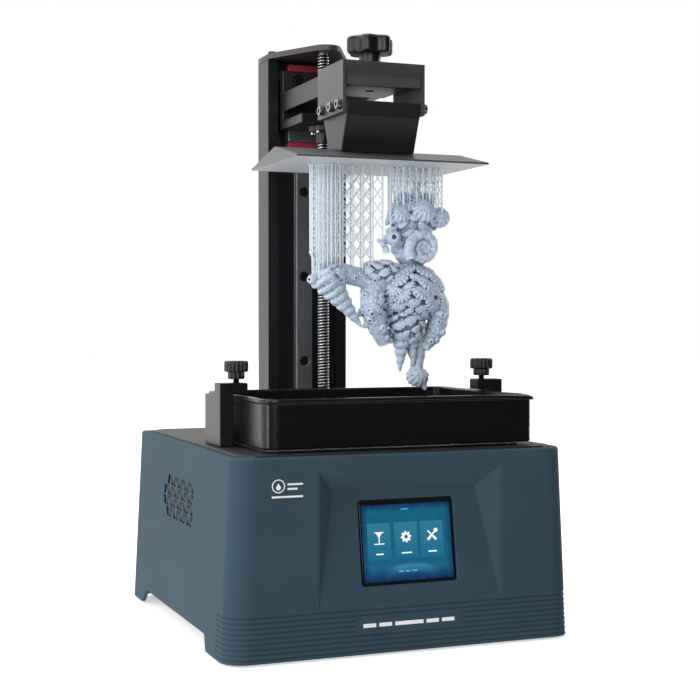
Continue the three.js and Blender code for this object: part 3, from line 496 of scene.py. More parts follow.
def plate_underside():
    """Bare aluminium with two sets of fine lines cut across each other."""
    tone = rgb(205, 206, 208)
    made = grained("etched_aluminium", tone, 0.5, metal=0.15, grain=0.5, spread=0.08, relief=0.01)
    tree, shader, place_out = reopened(made)
    lines = []
    for turn in (0.25 * math.pi, -0.25 * math.pi):
        turned_place = add(tree, "Mapping", {"Vector": place_out, "Rotation": (0.0, 0.0, turn)}).outputs[0]
        lines.append(ranged(tree, bands(tree, turned_place, 2.6, "X", 0.0), 0.0, 0.22, 1.0, 0.0))
    cuts = math_of(tree, "MAXIMUM", *lines)
    raised = math_of(tree, "SUBTRACT", 1.0, cuts)
    feed(tree, shader, {
        "Base Color": mixed(tree, cuts, rgb(226, 228, 231), rgb(96, 98, 103)),
        "Normal": bumped(tree, raised, 0.15, 0.8),
    })
    return made


def resin(name, tone, deep, light):
    """Cured resin: a little light passes through; hollows get painted shade in the deep colour, from ambient
    occlusion and low pointiness, and ridges get a painted highlight in the light colour.
    """
    made, tree, shader, place_out = blank(name)
    fine = noise_of(tree, place_out, 1.1)
    edge = add(tree, "NewGeometry").outputs["Pointiness"]
    # Painted shade: ambient occlusion and low pointiness mix the deep colour into hollows and creases.
    painted_shade_share = add(tree, "AmbientOcclusion", {"Distance": 5 * MM}, samples=8).outputs["AO"]
    colour = mixed(tree, ranged(tree, painted_shade_share, 0.25, 0.85), deep, tone)
    colour = mixed(tree, ranged(tree, edge, 0.44, 0.5, 1.0, 0.0), colour, dimmed(deep, 1.2))
    # Painted highlight: high pointiness mixes the light colour onto ridges.
    colour = mixed(tree, ranged(tree, edge, 0.5, 0.57), colour, light)
    colour = mixed(tree, contrast(tree, fine, 0.0, 0.3), colour, dimmed(tone, 0.75))
    height = math_of(tree, "ADD", bands(tree, place_out, 0.7, "Z", 0.6), fine)
    feed(tree, shader, {
        "Base Color": colour, "Roughness": contrast(tree, fine, 0.3, 0.46), "Subsurface Weight": 0.06,
        "Subsurface Radius": (0.9, 1.0, 1.2), "Subsurface Scale": 1.2 * MM,
        "Normal": bumped(tree, height, 0.03, 0.6),
    })
    return made


def tile_picture(low, high):
    """A tile that is paler at its top and fades into the picture at its foot."""
    made, tree, shader, place_out = lit_surface("display_tile", 0.1, 0.8)
    z = add(tree, "SeparateXYZ", {0: place_out}).outputs["Z"]
    cells = contrast(tree, noise_of(tree, place_out, 2.5), -0.08, 0.08)
    up = math_of(tree, "ADD", ranged(tree, z, low * MM, high * MM), cells)
    feed(tree, shader, {
        "Emission Color": mixed(tree, up, rgb(26, 116, 154), rgb(52, 136, 160)),
        "Base Color": mixed(tree, up, rgb(8, 22, 34), rgb(10, 26, 38)),
    })
    return made


def screen_picture(low, high):
    """The display's background: teal, deep blue at the edges, with a soft bright arc near the foot."""
    made, tree, shader, place_out = lit_surface("display_picture", 0.1, 0.8)
    parts = add(tree, "SeparateXYZ", {0: place_out})
    x, z = parts.outputs["X"], parts.outputs["Z"]
    up = ranged(tree, z, low.z * MM, high.z * MM)
    colour = mixed(tree, up, rgb(16, 100, 138), rgb(12, 100, 130))
    deep = rgb(8, 30, 88)
    for start, end in ((high.z - 4.5, high.z - 0.6), (low.z + 7.5, low.z + 1.0)):
        colour = mixed(tree, ranged(tree, z, start * MM, end * MM), colour, deep)
    for start, end in ((low.x + 4.5, low.x), (high.x - 4.5, high.x)):
        colour = mixed(tree, ranged(tree, x, start * MM, end * MM, 0.0, 0.75), colour, deep)
    arc_x = ((low.x + high.x) / 2 + 2.0) * MM
    flat = add(tree, "CombineXYZ", {0: x, 2: z}).outputs[0]
    reach = add(tree, "VectorMath", {0: flat, 1: (arc_x, 0.0, (low.z - 52.0) * MM)},
                operation="DISTANCE").outputs["Value"]
    rim = math_of(tree, "MULTIPLY", ranged(tree, reach, 0.0625, 0.0607),
                  ranged(tree, reach, 0.0560, 0.0604, 0.0, 0.7))
    aside = math_of(tree, "SUBTRACT", x, arc_x)
    shown = math_of(tree, "MULTIPLY", ranged(tree, aside, -0.017, -0.008), ranged(tree, aside, 0.017, 0.008))
    colour = mixed(tree, math_of(tree, "MULTIPLY", rim, shown), colour, rgb(74, 150, 200))
    cells = contrast(tree, noise_of(tree, place_out, 4.0), 0.0, 0.14)
    feed(tree, shader, {
        "Emission Color": mixed(tree, cells, colour, rgb(60, 150, 180)),
        "Base Color": mixed(tree, up, rgb(8, 20, 34), rgb(6, 14, 26)),
    })
    return made


BOARD_GREEN = circuit_board()
WINDOW_GLASS = clear_film("tinted_window_glass", rgb(120, 135, 150), 0.05, 0.85)
LENS_GLASS = clear_film("lens_glass", rgb(150, 160, 185), 0.03, 0.9)
FILM_CLEAR = clear_film("clear_film", rgb(215, 222, 228), 0.14, 0.8)
MIRROR = grained("mirror_face", rgb(225, 228, 232), 0.05, metal=1.0, grain=2.0, spread=0.03, relief=0.002,
                 swing=0.02)
PLATE_TOP = grained("sanded_aluminium", rgb(84, 85, 88), 0.4, metal=0.8, grain=0.5, spread=0.14, relief=0.02,
                    stretch=(0.12, 1.0, 1.0), worn=0.5)
PLATE_FACE = plate_underside()
# The print's resin: the last two colours are painted shade for hollows and painted highlight for ridges.
RESIN = resin("cured_resin", rgb(190, 208, 230), rgb(56, 72, 100), rgb(226, 236, 246))
# A paler copy of the print's resin with a much lighter shade colour: painted light for the thin posts that
# light passes through.
SUPPORT_RESIN = resin("support_resin", rgb(196, 208, 222), rgb(132, 146, 168), rgb(226, 236, 244))
PALE_MARK = grained("pale_printed_mark", rgb(240, 243, 246), 0.5, grain=0.4, spread=0.04, relief=0.01)
COVER_GLASS = grained("black_cover_glass", rgb(10, 11, 13), 0.09, grain=2.5, spread=0.2, relief=0.002,
                      swing=0.02, coat=0.4)


# ---- Base shell ---------------------------------------------------------------------------------

shell_low, shell_high = box_mm("base_shell")
HALF_WIDTH = 111.0
HALF_DEPTH = shell_high.y
TOP = shell_high.z
DRAFT = 6.0
WALL = 2.5
FRONT_RADIUS, REAR_RADIUS = 14.0, 4.0
FILLET = 1.6
GROOVE_PITCH = 2.95
GROOVE_FIRST, GROOVES = 3.6, 9
GROOVE_END = -91.0  # the grooves stop here on both sides


def lean(z):
    return 1 - (DRAFT / HALF_WIDTH) * (z / TOP)


def base_stations():
    """Points round the base with the direction that faces out of it: (x, y, nx, ny)."""
    fx, fy = HALF_WIDTH - FRONT_RADIUS, -HALF_DEPTH + FRONT_RADIUS
    rx, ry = HALF_WIDTH - REAR_RADIUS, HALF_DEPTH - REAR_RADIUS
    out = [(x, -HALF_DEPTH, 0, -1) for x in (-96, -60, -34, -32, 0, 34, 36, 60, 96)]
    out += arc_stations(fx, fy, FRONT_RADIUS, -90, 0, 14)
    along_side = (-96, GROOVE_END - 1.5, GROOVE_END, GROOVE_END + 1.5, -60, 0, 60)
    out += [(HALF_WIDTH, y, 1, 0) for y in along_side]
    out += arc_stations(rx, ry, REAR_RADIUS, 0, 90, 6)
    out += [(x, HALF_DEPTH, 0, 1) for x in (60, 0, -60)]
    out += arc_stations(-rx, ry, REAR_RADIUS, 90, 180, 6)
    out += [(-HALF_WIDTH, y, -1, 0) for y in reversed(along_side)]
    out += arc_stations(-fx, fy, FRONT_RADIUS, 180, 270, 14)
    return out


def arc_stations(cx, cy, r, start, end, steps):
    out = []
    for i in range(steps + 1):
        angle = math.radians(start + (end - start) * i / steps)
        nx, ny = math.cos(angle), math.sin(angle)
        out.append((cx + r * nx, cy + r * ny, nx, ny))
    return out


STATIONS = base_stations()


def base_ring(z, inset, groove=0.0):
    ring = []
    for x, y, nx, ny in STATIONS:
        step = inset
        if groove and y < GROOVE_END:
            plain = -33 < x < 35 and y < -HALF_DEPTH + 0.01 and 13.6 < z < 22.6
            step += 0.0 if plain else groove
        ring.append(((x - nx * step) * lean(z), y - ny * step, z))
    return ring


def groove_profile():
    rows = [(shell_low.z, 0.0)]
    for i in range(GROOVES):
        middle = GROOVE_FIRST + i * GROOVE_PITCH
        rows += [(middle - 0.95, 0.12), (middle - 0.45, 0.42), (middle - 0.22, 0.85)]
        rows += [(middle + 0.22, 0.85), (middle + 0.45, 0.42), (middle + 0.95, 0.12)]
    rows.append((GROOVE_FIRST + GROOVES * GROOVE_PITCH - 1.4, 0.0))
    return rows


def outer_skin():
    rings = [base_ring(z, 0.0, depth) for z, depth in groove_profile()]
    for i in range(7):
        angle = 0.5 * math.pi * i / 6
        rings.append(base_ring(TOP - FILLET + FILLET * math.sin(angle), FILLET * (1 - math.cos(angle))))
    return loft("base_skin", rings)


def recess_wedge(name, grow, back):
    """The wedge cut out of the front round the display: deep above, level with the front below."""
    face = -HALF_DEPTH + back
    points = []
    for side in (-1, 1):
        x = RECESS_X + side * (57.5 + grow)
        points += [(x, face, RECESS_LOW - grow), (x, face, 108.0 + grow)]
        deepest = RECESS_LOW + RECESS_RISE
        points.append((RECESS_X + side * (45.5 + grow), face + RECESS_DEEP + back, deepest + grow))
        if not back:
            points += [(x, face - 5, RECESS_LOW), (x, face - 5, 108.0)]
    return hull(name, points)


def rim_cutter(name, x, z, y, depth):
    """A shallow pyramid that takes the sharp edge off a rectangular hole in the front."""
    points = []
    for grow, h in ((depth, y), (depth + 4, y - 4), (0.0, y + depth)):
        for px in (x[0] - grow, x[1] + grow):
            for pz in (z[0] - grow, z[1] + grow):
                points.append((px, h, pz))
    return hull(name, points)


RECESS_X = 2.0  # middle of the recess and of the display
RECESS_LOW, RECESS_RISE, RECESS_DEEP = 31.0, 64.5, 10.0
DISPLAY_Z = 65.0
DISPLAY_Y = -HALF_DEPTH + RECESS_DEEP * (DISPLAY_Z - RECESS_LOW) / RECESS_RISE
SLOPE = math.atan2(RECESS_DEEP, RECESS_RISE)
DISPLAY_FRAME = shift(RECESS_X, DISPLAY_Y, DISPLAY_Z) @ Matrix.Rotation(-SLOPE, 4, "X")
SCREEN_X, SCREEN_Z = 30.5, 24.85  # half size of the hole for the display
COVER_BOLTS = [(x, y) for x in (-90, 90) for y in (-97, 97)]


def base_shell():
    shell = outer_skin()
    cavity = loft("cavity", [base_ring(-5, WALL), base_ring(TOP - 4, WALL)])
    cut(shell, cavity)
    unite(shell, recess_wedge("boss", 2.5, 1.2))
    cut(shell, recess_wedge("wedge", 0.0, 0.0))
    cut(shell, rim_cutter("wedge_rim", (-55.5, 59.5), (RECESS_LOW, 108.0), -HALF_DEPTH, 0.55))

    def screen(g):
        return rounded((-SCREEN_X - g, SCREEN_X + g), (-SCREEN_Z - g, SCREEN_Z + g), 2.0 + g, 5)

    cut(shell, moved(prism("screen_hole", screen(0.0), "y", -10, 10), DISPLAY_FRAME))
    levels = ((1.5, -1.0), (0.0, 0.5))
    rim = loft("screen_rim", [[place("y", a, b, h) for a, b in screen(g)] for g, h in levels])
    cut(shell, moved(rim, DISPLAY_FRAME))

    seat = chamfered((-100.3, 100.3), (-108.3, 108.3), 8)
    cut(shell, prism("seat", seat, "z", 115.2, 122))
    wider = chamfered((-101.3, 101.3), (-109.3, 109.3), 8.4)
    levels = ((seat, TOP - 0.5), (wider, TOP + 0.5))
    cut(shell, loft("seat_rim", [[(a, b, h) for a, b in ring] for ring, h in levels]))
    cut(shell, block("inside", (-95, -103, 108), (95, 103, 122)))

    arch = [
        (-71.6, -5), (87, -5), (87, 1.5), (77.6, 10.4), (76, 11), (-66.6, 11), (-67.7, 10.4), (-71.6, 1.5),
    ]
    cut(shell, prism("arches", arch, "x", -120, 120))
    vent_low, vent_high = box_mm("side_vent_grille")
    vent = chamfered((vent_low.y - 0.3, vent_high.y + 0.3), (vent_low.z - 0.3, vent_high.z + 0.3), 5)
    cut(shell, prism("vent_hole", vent, "x", -120, -91))

    fan = middle_mm("rear_fan_grille")
    inlet = middle_mm("power_inlet")
    switch = middle_mm("power_switch_housing")
    usb = middle_mm("usb_port")
    cut(shell, flared("y", (fan.x, fan.z), 28, 28.8, (104, 113, 113.8, 120), 64))
    for name, middle, x, z in (("inlet_hole", inlet, 7.3, 6.3), ("switch_hole", switch, 11.3, 7.8)):
        cut(shell, block(name, (middle.x - x, 104, middle.z - z), (middle.x + x, 120, middle.z + z)))
    cut(shell, block("usb_hole", (90, usb.y - 7.3, usb.z - 3.9), (120, usb.y + 7.3, usb.z + 3.9)))
    return shell


fit(base_shell(), "base", SHELL_PAINT, "shell_plastic", "base_shell", crease=32)


# ---- Top plate, window and floor ------------------------------------------------------------------

plate_low, plate_high = box_mm("top_plate")
SCREW_AT = (0, 28)  # axis of the lead screw


def top_plate():
    rings = []
    for z, inset in ((plate_low.z, 0.0), (117.4, 0.0), (117.75, 0.12), (117.95, 0.4), (plate_high.z, 0.8)):
        x, y = ((low + inset, high - inset) for low, high in zip(plate_low[:2], plate_high[:2]))
        rings.append([(a, b, z) for a, b in chamfered(x, y, 8)])
    plate = loft("top_cover", rings)
    cut(plate, block("light_hole", (-60, -84, 110), (60, -18, 125)))
    cut(plate, block("glass_seat", (-66.3, -90.3, 116.3), (66.3, -11.7, 125)))
    cut(plate, flared("z", SCREW_AT, 5, 5.8, (110, 117.6, 118.4, 125), FINE))
    for at in COVER_BOLTS:
        cut(plate, flared("z", at, 1.7, 3.2, (110, 116.4, 117.9, 120)))
    return plate


fit(top_plate(), "base", TOP_PAINT, "top_plate_paint", "top_plate")

cover_screws = []
for at in COVER_BOLTS:
    head = turned("cover_screw", "z", at, [(1.3, 115.6), (1.3, 116.4), (2.7, 117.75), (2.5, 117.9)], 32)
    cover_screws.append(cut(head, prism("key", circle(1.3, 6, at), "z", 116.9, 120)))
fit(join("cover_screws", cover_screws), "base", BLACK_SCREW, "bright_steel")

window = soften(block("window_pane", *box_mm("light_window")), 0.25)
fit(window, "base", WINDOW_GLASS, "window_glass", "light_window")


def feet():
    for name in ("front_left", "front_right", "rear_left", "rear_right"):
        low, high, middle = extent("rubber_foot_" + name)
        r, z = (high.x - low.x) / 2, low.z
        at = (middle.x, middle.y)
        profile = [(r - 1.2, z), (r - 0.3, z + 0.4), (r, z + 1.4), (r - 0.6, high.z)]
        foot = turned("foot_" + name, "z", at, profile)
        cut(foot, turned("hollow", "z", at, [(r - 3.2, z - 1), (r - 3.2, z + 0.5), (r - 4, z + 0.9)]))
        fit(foot, "base", RUBBER, "foot_rubber", "rubber_foot_" + name)


feet()


# ---- Side vent ------------------------------------------------------------------------------------

def vent_sheet(name, grow, x):
    """A sheet the size of the vent and grow larger all round, which leans with the side of the shell."""
    low, high = box_mm("side_vent_grille")
    outline = chamfered((low.y - grow, high.y + grow), (low.z - grow, high.z + grow), 5)
    return prism(name, outline, "x", *x)


def leaned(piece):
    for vertex in piece.data.vertices:
        vertex.co.x *= lean(vertex.co.z / MM)
    return piece


def side_vent():
    """Four rows of slots that lean one way and the other in turn, in the colour of the shell."""
    low, high, middle = extent("side_vent_grille")
    panel = vent_sheet("vent_panel", 0.25, (-110.9, -110.4))
    rows, columns = 4, 9
    half = 2.45  # half width of a slot
    tall, wide = (high.z - low.z - 1.2) / rows, (high.y - low.y - 1.5) / columns
    for row in range(rows):
        z0 = low.z + 0.6 + row * tall + 0.4
        z1 = z0 + tall - 0.8
        for column in range(columns):
            y = low.y + 0.75 + (column + 0.5) * wide
            slant = 1.1 if (row + column) % 2 else -1.1
            slot = [
                (y - half - slant, z0), (y + half - slant, z0),
                (y + half + slant, z1), (y - half + slant, z1),
            ]
            reach = max(abs(a - middle.y) + abs(b - middle.z) for a, b in slot)
            if reach < (high.y - low.y + high.z - low.z) / 2 - 4.2:
                cut(panel, prism("slot", slot, "x", -116, -104))
    return leaned(panel)


fit(side_vent(), "base", SHELL_PAINT, "shell_plastic", "side_vent_grille")
# A black sheet just behind the slots: painted shade standing in for the dark inside of the base.
vent_shade_sheet = leaned(vent_sheet("vent_backing_shade", -0.4, (-109.6, -109.0)))
fit(vent_shade_sheet, "base", CLAMP_PAINT, "black_plastic")


# ---- Display --------------------------------------------------------------------------------------

def flat_shape(name, outline, front, thickness):
    """A thin shape on the display, its outline in the display's own X and Z."""
    return moved(prism(name, outline, "y", front, front + thickness), DISPLAY_FRAME)


def bar_shape(name, x, z, half_x, half_z, front, turn=0.0):
    corners = []
    c, s = math.cos(turn), math.sin(turn)
    for a, b in ((-half_x, -half_z), (half_x, -half_z), (half_x, half_z), (-half_x, half_z)):
        corners.append((x + a * c - b * s, z + a * s + b * c))
    return flat_shape(name, corners, front, 0.06)


def gear_shape(name, x, z, radius, front):
    outline = []
    for i in range(32):
        angle = 2 * math.pi * i / 32
        r = radius if i % 4 in (0, 1) else radius * 0.74
        outline.append((x + r * math.cos(angle), z + r * math.sin(angle)))
    gear = flat_shape(name, outline, front, 0.06)
    return cut(gear, moved(bore("y", (x, z), radius * 0.36, front - 1, front + 1, 32), DISPLAY_FRAME))


GLASS_FRONT = 0.8
cover = prism("display_cover", rounded((-29.5, 29.5), (-23.85, 23.85), 1.4, 4), "y", GLASS_FRONT, 3.0)
fit(soften(moved(cover, DISPLAY_FRAME), 0.25), "base", COVER_GLASS, "display_glass", "touch_display")

LIT_X = 28.4  # half width of the lit area
LIT_LOW, LIT_HIGH = -22.8, 21.7
lit_outline = rounded((-LIT_X, LIT_X), (LIT_LOW, LIT_HIGH), 0.4, 3)
picture = flat_shape("display_picture", lit_outline, GLASS_FRONT - 0.06, 0.3)
PICTURE_BOX = (
    Vector((RECESS_X - LIT_X, 0, DISPLAY_Z + LIT_LOW)), Vector((RECESS_X + LIT_X, 0, DISPLAY_Z + LIT_HIGH)),
)
fit(picture, "base", screen_picture(*PICTURE_BOX), "display_glass")

TILE_LOW, TILE_HIGH = -10.2, 11.0
TILE = tile_picture(TILE_LOW + DISPLAY_Z, TILE_HIGH + DISPLAY_Z)
WHITE_LIT = glowing("display_white", rgb(236, 243, 247))
DIM_LIT = glowing("display_dim_blue", rgb(92, 160, 204))
ICON = GLASS_FRONT - 0.2
tile_middles = (-18.1, -0.9, 15.7)
tiles = [
    flat_shape("tile", rounded((x - 7.3, x + 7.3), (TILE_LOW, TILE_HIGH), 0.5, 3), GLASS_FRONT - 0.12, 0.06)
    for x in tile_middles
]
fit(join("display_tiles", tiles), "base", TILE, "display_glass")


def display_icons():
    shapes = []
    x, z = tile_middles[0], 2.6
    shapes += [
        bar_shape("plate_bar", x, z + 3.0, 2.9, 0.28, ICON),
        bar_shape("stem", x, z - 0.4, 0.3, 3.0, ICON),
        bar_shape("floor", x, z - 3.6, 3.2, 0.3, ICON),
        flat_shape("drop", [(x - 1.8, z + 2.8), (x, z - 0.6), (x + 1.8, z + 2.8)], ICON - 0.02, 0.06),
    ]
    shapes.append(gear_shape("gear", tile_middles[1], z - 0.2, 3.4, ICON))
    x = tile_middles[2]
    for turn in (0.25 * math.pi, 0.75 * math.pi):
        shapes.append(bar_shape("tool", x, z, 3.6, 0.42, ICON, turn))
        a, b = x - 2.5 * math.cos(turn), z - 2.5 * math.sin(turn)
        shapes.append(bar_shape("handle", a, b, 1.4, 0.75, ICON - 0.02, turn))
    jaw = flat_shape("jaw", circle(1.25, 20, (x + 2.7, z + 2.7)), ICON - 0.03, 0.06)
    shapes.append(cut(jaw, bar_shape("notch", x + 3.6, z + 3.6, 1.1, 0.45, ICON - 0.05, 0.25 * math.pi)))
    for x, half in zip(tile_middles, (2.3, 3.3, 2.7)):
        shapes.append(bar_shape("caption", x, -6.9, half, 0.38, ICON))
    return join("display_icons", shapes)


fit(display_icons(), "base", WHITE_LIT, "display_glass")
dim_bars = [bar_shape("title", -0.9, 18.6, 2.3, 0.32, ICON)]
dim_bars += [bar_shape("foot_bar", x, -17.4, 1.5, 0.42, ICON) for x in (-5.1, -0.9, 3.3)]
fit(join("display_bars", dim_bars), "base", DIM_LIT, "display_glass")


# ---- Printed marks on the front --------------------------------------------------------------------

def front_marks():
    """A ring with a drop in it and two bars above left, and a row of plain bars below the display."""
    skin = -HALF_DEPTH
    ring = turned("ring", "y", (-80, 101), [(3.9, skin - 0.05), (3.9, skin + 0.3)])
    cut(ring, bore("y", (-80, 101), 3.3, skin - 2, skin + 2))
    drop = []
    for i in range(24):
        angle = 2 * math.pi * i / 24
        stretch = 1.0 + 0.75 * max(0.0, math.sin(angle)) ** 3
        narrow = 1.0 - 0.55 * max(0.0, math.sin(angle)) ** 2
        drop.append((-80 + 1.45 * math.cos(angle) * narrow, 100.2 + 1.45 * math.sin(angle) * stretch))
    marks = [ring, prism("drop", drop, "y", skin - 0.05, skin + 0.3)]
    for x0, x1, z in ((-74.6, -65.4, 101.9), (-74.6, -68.6, 99.3), (-84, -65.4, 94.9)):
        marks.append(block("bar", (x0, skin - 0.05, z - 0.55), (x1, skin + 0.3, z + 0.55)))
    for x0, x1 in ((-28.5, -20.5), (-18.5, -10.5), (-8.5, 9.5), (11.5, 19.5), (21.5, 29.5)):
        marks.append(block("bar", (x0, skin - 0.05, 17.0), (x1, skin + 0.3, 19.2)))
    return join("front_marks", marks)


fit(front_marks(), "base", PALE_MARK, "grey_plastic")


# ---- Column, cap and rail ---------------------------------------------------------------------------

column_low, column_high = box_mm("z_column")
BACK_BOLTS = [(x, z) for x in (-12, 12) for z in (140, 245, 350)]


def column():
    inner, web = 21.6, 73.0
    left, right, front, rear = column_low.x, column_high.x, column_low.y, column_high.y
    outline = [
        (left, front), (-inner, front), (-inner, web), (inner, web), (inner, front),
        (right, front), (right, rear), (left, rear),
    ]
    body = prism("column", outline, "z", column_low.z, column_high.z)
    for at in BACK_BOLTS:
        cut(body, flared("y", at, 3.4, 4.0, (rear - 3.4, rear - 0.3, rear + 0.3, rear + 5)))
    return soften(body, 0.7, 3)


fit(column(), "base", BLACK_ALUMINIUM, "black_aluminium", "z_column")

back_bolts = [
    socket_screw("back_bolt", "y", (*at, column_high.y - 3.2), 2.9, 2.6, 1.5, 0.1, 1) for at in BACK_BOLTS
]
fit(join("column_back_screws", back_bolts), "base", BLACK_SCREW, "bright_steel")


def column_cap():
    low, high = box_mm("column_cap")
    nose = [(-8 + 16 * t, 17 - 16 * t * (1 - t)) for t in [i / 10 for i in range(11)]]
    outline = [(low.x, high.y), (low.x, 57)] + nose + [(high.x, 57), (high.x, high.y)]
    body = prism("cap", outline, "z", low.z, high.z)
    cut(body, bore("z", SCREW_AT, 3.3, 370, 380))
    for name in ("cap_screw_left", "cap_screw_right"):
        middle = middle_mm(name)
        cut(body, bore("z", (middle.x, middle.y), 1.8, 370, 380, 24))
    return soften(body, 0.5, 3)


fit(column_cap(), "base", SHEET_STEEL, "sheet_steel", "column_cap")
for side in ("left", "right"):
    node = "cap_screw_" + side
    low, high, middle = extent(node)
    seat = 377.3
    at = (middle.x, middle.y, seat)
    screw = socket_screw("cap_screw_head_" + side, "z", at, 3.0, high.z - seat, 1.5, 3.9, 1)
    fit(screw, "base", BLACK_SCREW, "bright_steel", node)


def rail():
    low, high = box_mm("linear_rail")
    half, front, rear = high.x, low.y, high.y
    side = [
        (half, rear), (half, 69.9), (half - 1.0, 69.2), (half - 1.0, 68.0), (half, 67.3), (half, 65.5),
        (half - 0.5, front),
    ]
    outline = side + [(-x, y) for x, y in reversed(side)]
    body = prism("rail", outline, "z", low.z, high.z)
    for i in range(4):
        z = 166 + 59 * i
        hole = [
            (3.9, front - 3), (3.9, front - 0.2), (3.3, front + 0.4), (3.3, front + 4), (1.9, front + 4),
            (1.9, rear + 3),
        ]
        cut(body, turned("counterbore", "y", (0, z), hole))
    return body


fit(rail(), "base", RAIL_STEEL, "rail_steel", "linear_rail", crease=25)
for i in range(4):
    node = f"rail_screw_{i + 1}"
    low, high, middle = extent(node)
    rise = 3.1
    at = (0, middle.z, low.y + rise)
    screw = socket_screw(f"rail_bolt_{i + 1}", "y", at, 3.0, rise, 1.5, high.y - low.y - rise, -1)
    fit(screw, "base", BLACK_SCREW, "rail_steel", node)


# ---- Lead screw -----------------------------------------------------------------------------------

def lead_screw():
    """A thread with a 2 mm pitch: the crest and root wind round as the height goes up."""
    low, high = box_mm("lead_screw")
    centre_y = (low.y + high.y) / 2
    crest, root, pitch, sides = 4.0, 3.15, 2.0, 24
    start, end = low.z, 372.0
    step = pitch / 8
    rows = int((end - start) / step)
    rings = []
    for row in range(rows + 1):
        z = start + row * step
        ring = []
        for i in range(sides):
            phase = (z / pitch - i / sides) % 1.0
            ramp = min(max((abs(phase - 0.5) * 2 - 0.3) / 0.4, 0.0), 1.0)
            r = crest + (root - crest) * ramp
            angle = 2 * math.pi * i / sides
            ring.append((r * math.cos(angle), centre_y + r * math.sin(angle), z))
        rings.append(ring)
    for r, z in ((3.0, end + 0.2), (3.0, high.z - 0.4), (2.6, high.z)):
        rings.append([(a, b, z) for a, b in circle(r, sides, (0, centre_y))])
    return loft("threaded_screw", rings)


thread = lead_screw()
fit(thread, "z_screw", [BRIGHT_STEEL, DARK_STEEL_AND_ROOT_SHADE], "bright_steel", "lead_screw", crease=50)
# Root and flank faces of the thread get the dark steel: painted shade in the gaps between the crests.
for face in thread.data.polygons:
    if face.center.z < 0.3722 and math.hypot(face.center.x, face.center.y - 28 * MM) < 3.72 * MM:
        face.material_index = 1


# ---- Carriage -------------------------------------------------------------------------------------

def carriage_piece(node, low, high, inset):
    body = block(node, low, high)
    cut(body, block("slot", (-6.3, 64.7, low[2] - 5), (6.3, 80, high[2] + 5)))
    return soften(body, inset, 3)


block_low, block_high = box_mm("carriage_block")
carriage = carriage_piece("slide_block", block_low, block_high, 0.6)
for x in (-8.5, 8.5):
    for z in (block_low.z + 9, block_high.z - 9):
        cut(carriage, turned("tapped_hole", "y", (x, z), [(1.6, 55), (1.6, 60.3), (1.5, 64)], 24))
fit(carriage, "z_carriage", RAIL_STEEL, "rail_steel", "carriage_block")
for place_name in ("upper", "lower"):
    node = "block_seal_" + place_name
    low, high = box_mm(node)
    seal = carriage_piece("end_seal_" + place_name, low, high, 0.5)
    fit(seal, "z_carriage", CRIMSON, "seal_red", node)

ARM_HALF = box_mm("carriage_arm")[1].x
ARM_BOLTS = [(x, z) for x in (-9, 9) for z in (331.5, 359)]
CLAMP_AT = (0, -54)  # axis of the platform knob


def carriage_arm():
    plate = soften(block("arm_plate", (-ARM_HALF, 53, 325), (ARM_HALF, 59.7, 365)), 0.6, 3)
    shelf = soften(block("nut_shelf", (-ARM_HALF, 15, 325), (ARM_HALF, 54, 331)), 0.6, 3)
    tongue = soften(block("tongue", (-19.5, -70, 336), (19.5, -30, 347.7)), 0.6, 3)
    parts = [shelf, tongue]
    for x in ((-ARM_HALF, -13.5), (13.5, ARM_HALF)):
        parts.append(soften(block("arm_bar", (x[0], -33.7, 337), (x[1], 56.7, 350)), 0.5, 3))
    arm = unite(plate, *parts)
    cut(arm, flared("z", SCREW_AT, 5.5, 6.0, (320, 330.6, 331.2, 340), FINE))
    cut(arm, flared("z", CLAMP_AT, 3.2, 2.5, (330, 335.8, 336.5, 339)))
    for at in ARM_BOLTS:
        cut(arm, flared("y", at, 3.7, 3.2, (45, 53.1, 53.6, 56)))
    return arm


fit(carriage_arm(), "z_carriage", ARM_ALUMINIUM, "black_aluminium", "carriage_arm")

arm_screws = [socket_screw("arm_screw", "y", (*at, 55.8), 2.9, 3.6, 1.4, 0.2, -1) for at in ARM_BOLTS]
fit(join("arm_screws", arm_screws), "z_carriage", BLACK_SCREW, "bright_steel")


def lead_nut():
    low, high = box_mm("lead_nut")
    step = high.z - 11.3
    profile = [
        (5.2, low.z), (5.2, 321), (10.2, 321), (10.5, 321.3), (10.5, 324.4), (10.2, step), (5.2, step),
        (5.2, high.z),
    ]
    return cut(turned("flanged_nut", "z", SCREW_AT, profile), bore("z", SCREW_AT, 4.3, 300, 350))


fit(lead_nut(), "z_carriage", ACETAL, "nut_polymer", "lead_nut")
nut_screws = []
for i in range(4):
    angle = math.pi * (0.25 + 0.5 * i)
    at = (7.8 * math.cos(angle), 28 + 7.8 * math.sin(angle), 320.95)
    nut_screws.append(socket_screw("nut_screw", "z", at, 1.35, 1.5, 0.7, 0.2, -1, 20))
fit(join("nut_screws", nut_screws), "z_carriage", BRIGHT_STEEL, "bright_steel")


# ---- Platform -------------------------------------------------------------------------------------

bracket_low, bracket_high = box_mm("platform_bracket")
LEVELLING_HOLE = 2.2
LEVELLING_SIDES = [
    (f"{end}_{side}", s) for end in ("front", "middle", "rear") for side, s in (("left", -1), ("right", 1))
]


def levelling_holes(body, near, far):
    for name, side in LEVELLING_SIDES:
        middle = middle_mm("levelling_screw_" + name)
        cut(body, bore("x", (middle.y, middle.z), LEVELLING_HOLE, *sorted((side * near, side * far)), 32))


